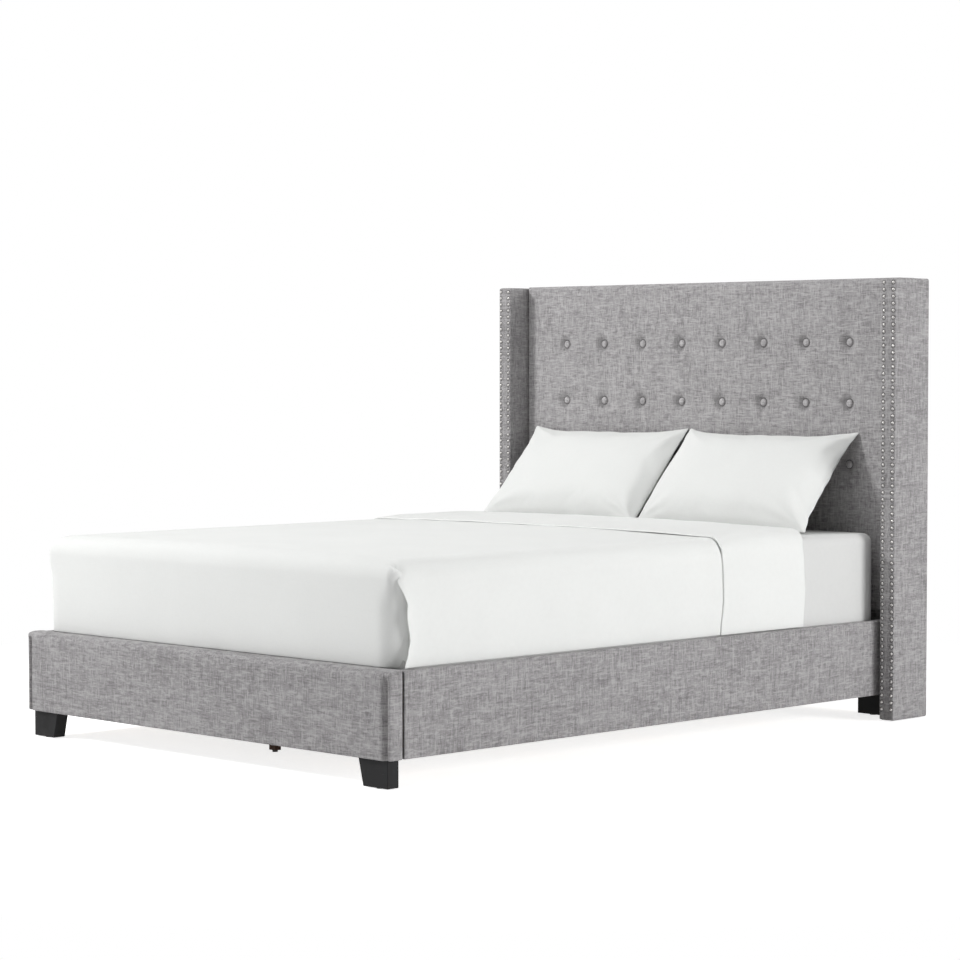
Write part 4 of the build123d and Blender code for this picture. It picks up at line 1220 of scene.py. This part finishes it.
def fill_case(width, height, thickness, settings, meeting):
    """A filled pillowcase: +X along its width, +Y up and +Z out of its front.

    It starts as a crowned form with drawn-in sides, less so at the side that meets its neighbour, which is
    given as 1 or -1. Simulated cloth then swells and creases it a little.
    """
    scene = bpy.context.scene
    flat = Vector((width / 2, height / 2, 0.004))
    cell, seam, swell_room, seam_sway = 0.009, 0.002, 0.008, settings.seam_wave * 0.7
    bm = sliced_box(even(-flat.x, flat.x, cell), even(-flat.y, flat.y, cell), [-flat.z, 0, flat.z])
    for vert in bm.verts:
        u, v, face = (vert.co[i] / flat[i] for i in range(3))
        meets = u * meeting > 0
        full = max(0, (1 - abs(u) ** 2.6) * (1 - abs(v) ** 2.6)) ** 0.55
        vert.co.z = face * (seam + full * (thickness / 2 - swell_room))
        draw = settings.pillow_top_draw if v > 0 else settings.pillow_foot_draw
        vert.co.y -= v * draw * (1 - u ** 4) ** 1.2
        side_draw = settings.pillow_meeting_draw if meets else settings.pillow_side_draw
        vert.co.x -= u * side_draw * (1 - v ** 4) ** 1.2
        wave = settings.seam_wave * (0.35 if meets else 1)
        vert.co.x += wave * abs(u) ** 9 * (1 - v ** 6) * ripple(vert.co, (0, 26, 0), 4.0 * u)
        vert.co.y += seam_sway * abs(v) ** 9 * (1 - u ** 6) * ripple(vert.co, (15, 0, 0), 6.0 * v)
        corner = math.hypot(1 - abs(u), 1 - abs(v))
        turn = math.atan2(1 - abs(u), 1 - abs(v))
        pleat = math.sin(turn * 13 + 3 * u + v) * ease(corner, 0.04, 0.2) * (1 - ease(corner, 0.25, 0.9))
        vert.co.z += face * 0.0024 * pleat + 0.0022 * face * ripple(vert.co, (9, 6, 0), 8.0)
    case = add_object("case", bm)
    cloth = case.modifiers.new("Fill", "CLOTH")
    for name, value in (
        ("quality", 6), ("mass", 0.3), ("tension_stiffness", 30), ("compression_stiffness", 20),
        ("shear_stiffness", 8), ("bending_stiffness", 0.35), ("shrink_min", -settings.pillow_slack),
        ("use_pressure", True), ("uniform_pressure_force", settings.pillow_pressure),
    ):
        setattr(cloth.settings, name, value)
    cloth.settings.effector_weights.gravity = 0
    frames = 20
    cloth.point_cache.frame_end = frames
    for frame_number in range(1, frames + 1):
        scene.frame_set(frame_number)
    filled = case.evaluated_get(bpy.context.evaluated_depsgraph_get()).data
    for vert, swollen in zip(bm.verts, filled.vertices):
        step = swollen.co - vert.co
        vert.co += step / math.hypot(1, step.length / settings.pillow_swell)
    bpy.data.objects.remove(case)
    scene.frame_set(1)
    bmesh.ops.smooth_vert(bm, verts=bm.verts, factor=0.3, use_axis_x=True, use_axis_y=True, use_axis_z=True)
    low, high = (Vector([pick(v.co[i] for v in bm.verts) for i in range(3)]) for pick in (min, max))
    bmesh.ops.translate(bm, vec=-(low + high) / 2, verts=bm.verts)
    fit = [wanted / made for wanted, made in zip((width, height, thickness), high - low)]
    bmesh.ops.scale(bm, vec=fit, verts=bm.verts)
    return bm


class BED_OT_make_pillows(Operator):
    """Two filled pillows leaning from the mattress to the headboard"""

    bl_idname = "bed.make_pillows"
    bl_label = "Pillows"

    def execute(self, context):
        settings = context.scene.bed_bedding
        sheet_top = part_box("fitted_sheet")[1].z
        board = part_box("headboard_pad")[0].y
        height, thickness, lift, clearance = 0.427, 0.15, 0.002, 0.0006
        fuller_foot, thinner_up = 1.06, 0.22
        across, up = math.cos(settings.pillow_lean), math.sin(settings.pillow_lean)
        lean = Matrix(((1, 0, 0), (0, across, -up), (0, up, across))).to_4x4()
        for side in SIDES:
            low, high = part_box(f"{side}_pillow")
            bm = fill_case(high.x - low.x, height, thickness, settings, -1)
            if side == "left":
                bmesh.ops.rotate(bm, matrix=Matrix.Rotation(math.pi, 3, "Y"), verts=bm.verts)
            for vert in bm.verts:
                vert.co.z *= fuller_foot - thinner_up * (vert.co.y / height + 0.5)
            foot = Vector(((low.x + high.x) / 2, board - height * across, sheet_top + lift))
            bmesh.ops.translate(bm, vec=(0, height / 2, 0), verts=bm.verts)
            bmesh.ops.transform(bm, matrix=Matrix.Translation(foot) @ lean, verts=bm.verts)
            for vert in bm.verts:
                vert.co.z = max(vert.co.z, sheet_top + clearance)
                vert.co.y = min(vert.co.y, board - clearance)
            piece = finish_piece(
                bm, f"{side}_pillow_filled", f"{side}_pillow", "pillow cotton", 120,
                body=f"{side}_pillow",
            )
            finer = piece.modifiers.new("Smooth", "SUBSURF")
            finer.levels = finer.render_levels = 1
        return {"FINISHED"}


def dress(names, material):
    """Give CAD nodes their finish, adding a material slot where a node has none."""
    for name in names:
        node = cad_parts[name]
        if not node.material_slots:
            node.data.materials.append(bpy.data.materials[material])
        for place in node.material_slots:
            place.material = bpy.data.materials[material]


class BED_OT_finish_timber(Operator):
    """Finish the legs, boards, slats and panel"""

    bl_idname = "bed.finish_timber"
    bl_label = "Timber"

    def execute(self, context):
        dress([f"{s}_{e}_leg" for s in SIDES for e in ("foot", "head")], "black wood")
        dress([f"support_leg_{n}" for n in range(1, 5)], "brown wood")
        dress([f"slat_{n}" for n in range(1, 5)] + ["footboard_board"], "pine across")
        dress([f"headboard_{n}_rail" for n in ("top", "upper", "lower", "base")], "pine across")
        dress([f"{s}_{n}" for s in SIDES for n in ("rail_board", "slat_ledger")], "pine along")
        dress([f"{s}_{n}" for s in SIDES for n in ("headboard_stile", "wing_frame")], "pine upright")
        dress(["headboard_panel"], "plywood")
        return {"FINISHED"}


class BED_OT_finish_hardware(Operator):
    """Finish the brackets, bolts and glides"""

    bl_idname = "bed.finish_hardware"
    bl_label = "Hardware"

    def execute(self, context):
        dress([f"{s}_{e}_bracket" for s in SIDES for e in ("foot", "head")], "black steel")
        dress(["bracket_bolts", "leg_bolts", "wing_bolts"], "zinc")
        dress(["leg_glides", "support_glides"], "glide plastic")
        return {"FINISHED"}


def seen_by(tree, *rays):
    """1 for the kinds of ray that see a bright backdrop, and 0 for the rest."""
    path = add_node(tree, "ShaderNodeLightPath").outputs
    return reduce(partial(calc, tree, "MAXIMUM"), [path[f"Is {ray} Ray"] for ray in rays])


class BED_OT_set_stage(Operator):
    """Plain pale floor, soft lamps and the camera"""

    bl_idname = "bed.set_stage"
    bl_label = "Studio"

    def execute(self, context):
        scene = context.scene
        settings = scene.bed_stage
        white = (1, 1, 1, 1)
        bm = bmesh.new()
        bmesh.ops.create_grid(bm, x_segments=1, y_segments=1, size=14)
        floor = add_object("studio_floor", bm)
        bm.free()
        tree, shader, place_of_floor = new_material("studio floor")
        shader.inputs["Base Color"].default_value = (0.86, 0.86, 0.86, 1)
        shader.inputs["Roughness"].default_value = 0.9
        seen = seen_by(tree, "Camera", "Glossy")
        glow = add_node(tree, "ShaderNodeEmission", {"Color": white, "Strength": product(tree, seen, 0.78)})
        near = add_node(tree, "ShaderNodeAddShader", {0: shader.outputs[0], 1: glow.outputs[0]})
        far = add_node(tree, "ShaderNodeEmission", {"Color": white, "Strength": 1.0})
        away = add_node(tree, "ShaderNodeVectorMath", {0: place_of_floor}, operation="LENGTH")
        fade = product(tree, seen, remap(tree, away.outputs["Value"], 1.6, 3.2))
        both = add_node(tree, "ShaderNodeMixShader", {0: fade, 1: near.outputs[0], 2: far.outputs[0]})
        output = next(n for n in tree.nodes if n.type == "OUTPUT_MATERIAL")
        tree.links.new(both.outputs[0], output.inputs["Surface"])
        floor.data.materials.append(bpy.data.materials["studio floor"])

        world = bpy.data.worlds.new("studio")
        world.use_nodes = True
        scene.world = world
        tree = world.node_tree
        tree.nodes.clear()
        seen = seen_by(tree, "Camera", "Glossy", "Transmission")
        strength = calc(tree, "MULTIPLY_ADD", seen, 1 - settings.sky, settings.sky)
        sky = add_node(tree, "ShaderNodeBackground", {"Color": white, "Strength": strength})
        add_node(tree, "ShaderNodeOutputWorld", {"Surface": sky.outputs[0]})

        for name, place, aim, size, power in (
            ("main_lamp", (-4.2, -5.2, 4.4), (0, 0, 0.6), 1.3, 1.0),
            ("side_lamp", (8.6, 2.4, 2.1), (0.8, 0.0, 0.4), 2.4, 1.25),
            ("top_lamp", (0, -0.8, 5.2), (0, 0, 0.5), 3.0, 0.25),
        ):
            lamp = bpy.data.lights.new(name, "AREA")
            lamp.size = size
            lamp.energy = power * settings.lamp_power
            holder = add_object(name, lamp)
            holder.location = place
            holder.rotation_euler = (Vector(aim) - Vector(place)).to_track_quat("-Z", "Y").to_euler()

        camera = add_object("camera", bpy.data.cameras.new("camera"))
        camera.location = settings.camera_place
        camera.rotation_euler = settings.camera_turn
        camera.data.lens = settings.lens
        camera.data.sensor_width = 36
        camera.data.clip_end = 100
        scene.camera = camera
        scene.view_settings.view_transform = "Standard"
        return {"FINISHED"}


STEPS = (
    BED_OT_make_materials,
    BED_OT_make_headboard_pad,
    BED_OT_make_buttons,
    BED_OT_make_wings,
    BED_OT_make_nailheads,
    BED_OT_make_footboard,
    BED_OT_make_side_rails,
    BED_OT_make_apron,
    BED_OT_make_lining,
    BED_OT_make_foundation,
    BED_OT_make_mattress,
    BED_OT_make_fitted_sheet,
    BED_OT_make_coverlet,
    BED_OT_make_turned_sheet,
    BED_OT_make_pillows,
    BED_OT_finish_timber,
    BED_OT_finish_hardware,
    BED_OT_set_stage,
)


class BED_PT_sidebar(Panel):
    """Steps that dress the bed"""

    bl_idname = "BED_PT_sidebar"
    bl_label = "Wingback bed"
    bl_space_type = "VIEW_3D"
    bl_region_type = "UI"
    bl_category = "Bed"

    def draw(self, context):
        for step in STEPS:
            self.layout.operator(step.bl_idname)


SETTINGS = (
    ("bed_upholstery", UpholsterySettings),
    ("bed_trim", TrimSettings),
    ("bed_bedding", BeddingSettings),
    ("bed_timber", TimberSettings),
    ("bed_stage", StageSettings),
)


def register():
    for name, group in SETTINGS:
        bpy.utils.register_class(group)
        setattr(bpy.types.Scene, name, PointerProperty(type=group))
    for step in STEPS:
        bpy.utils.register_class(step)
    bpy.utils.register_class(BED_PT_sidebar)


def unregister():
    bpy.utils.unregister_class(BED_PT_sidebar)
    for step in reversed(STEPS):
        bpy.utils.unregister_class(step)
    for name, group in reversed(SETTINGS):
        delattr(bpy.types.Scene, name)
        bpy.utils.unregister_class(group)


def main():
    register()
    for step in STEPS:
        group, name = step.bl_idname.split(".")
        getattr(getattr(bpy.ops, group), name)()


if __name__ == "__main__":
    main()
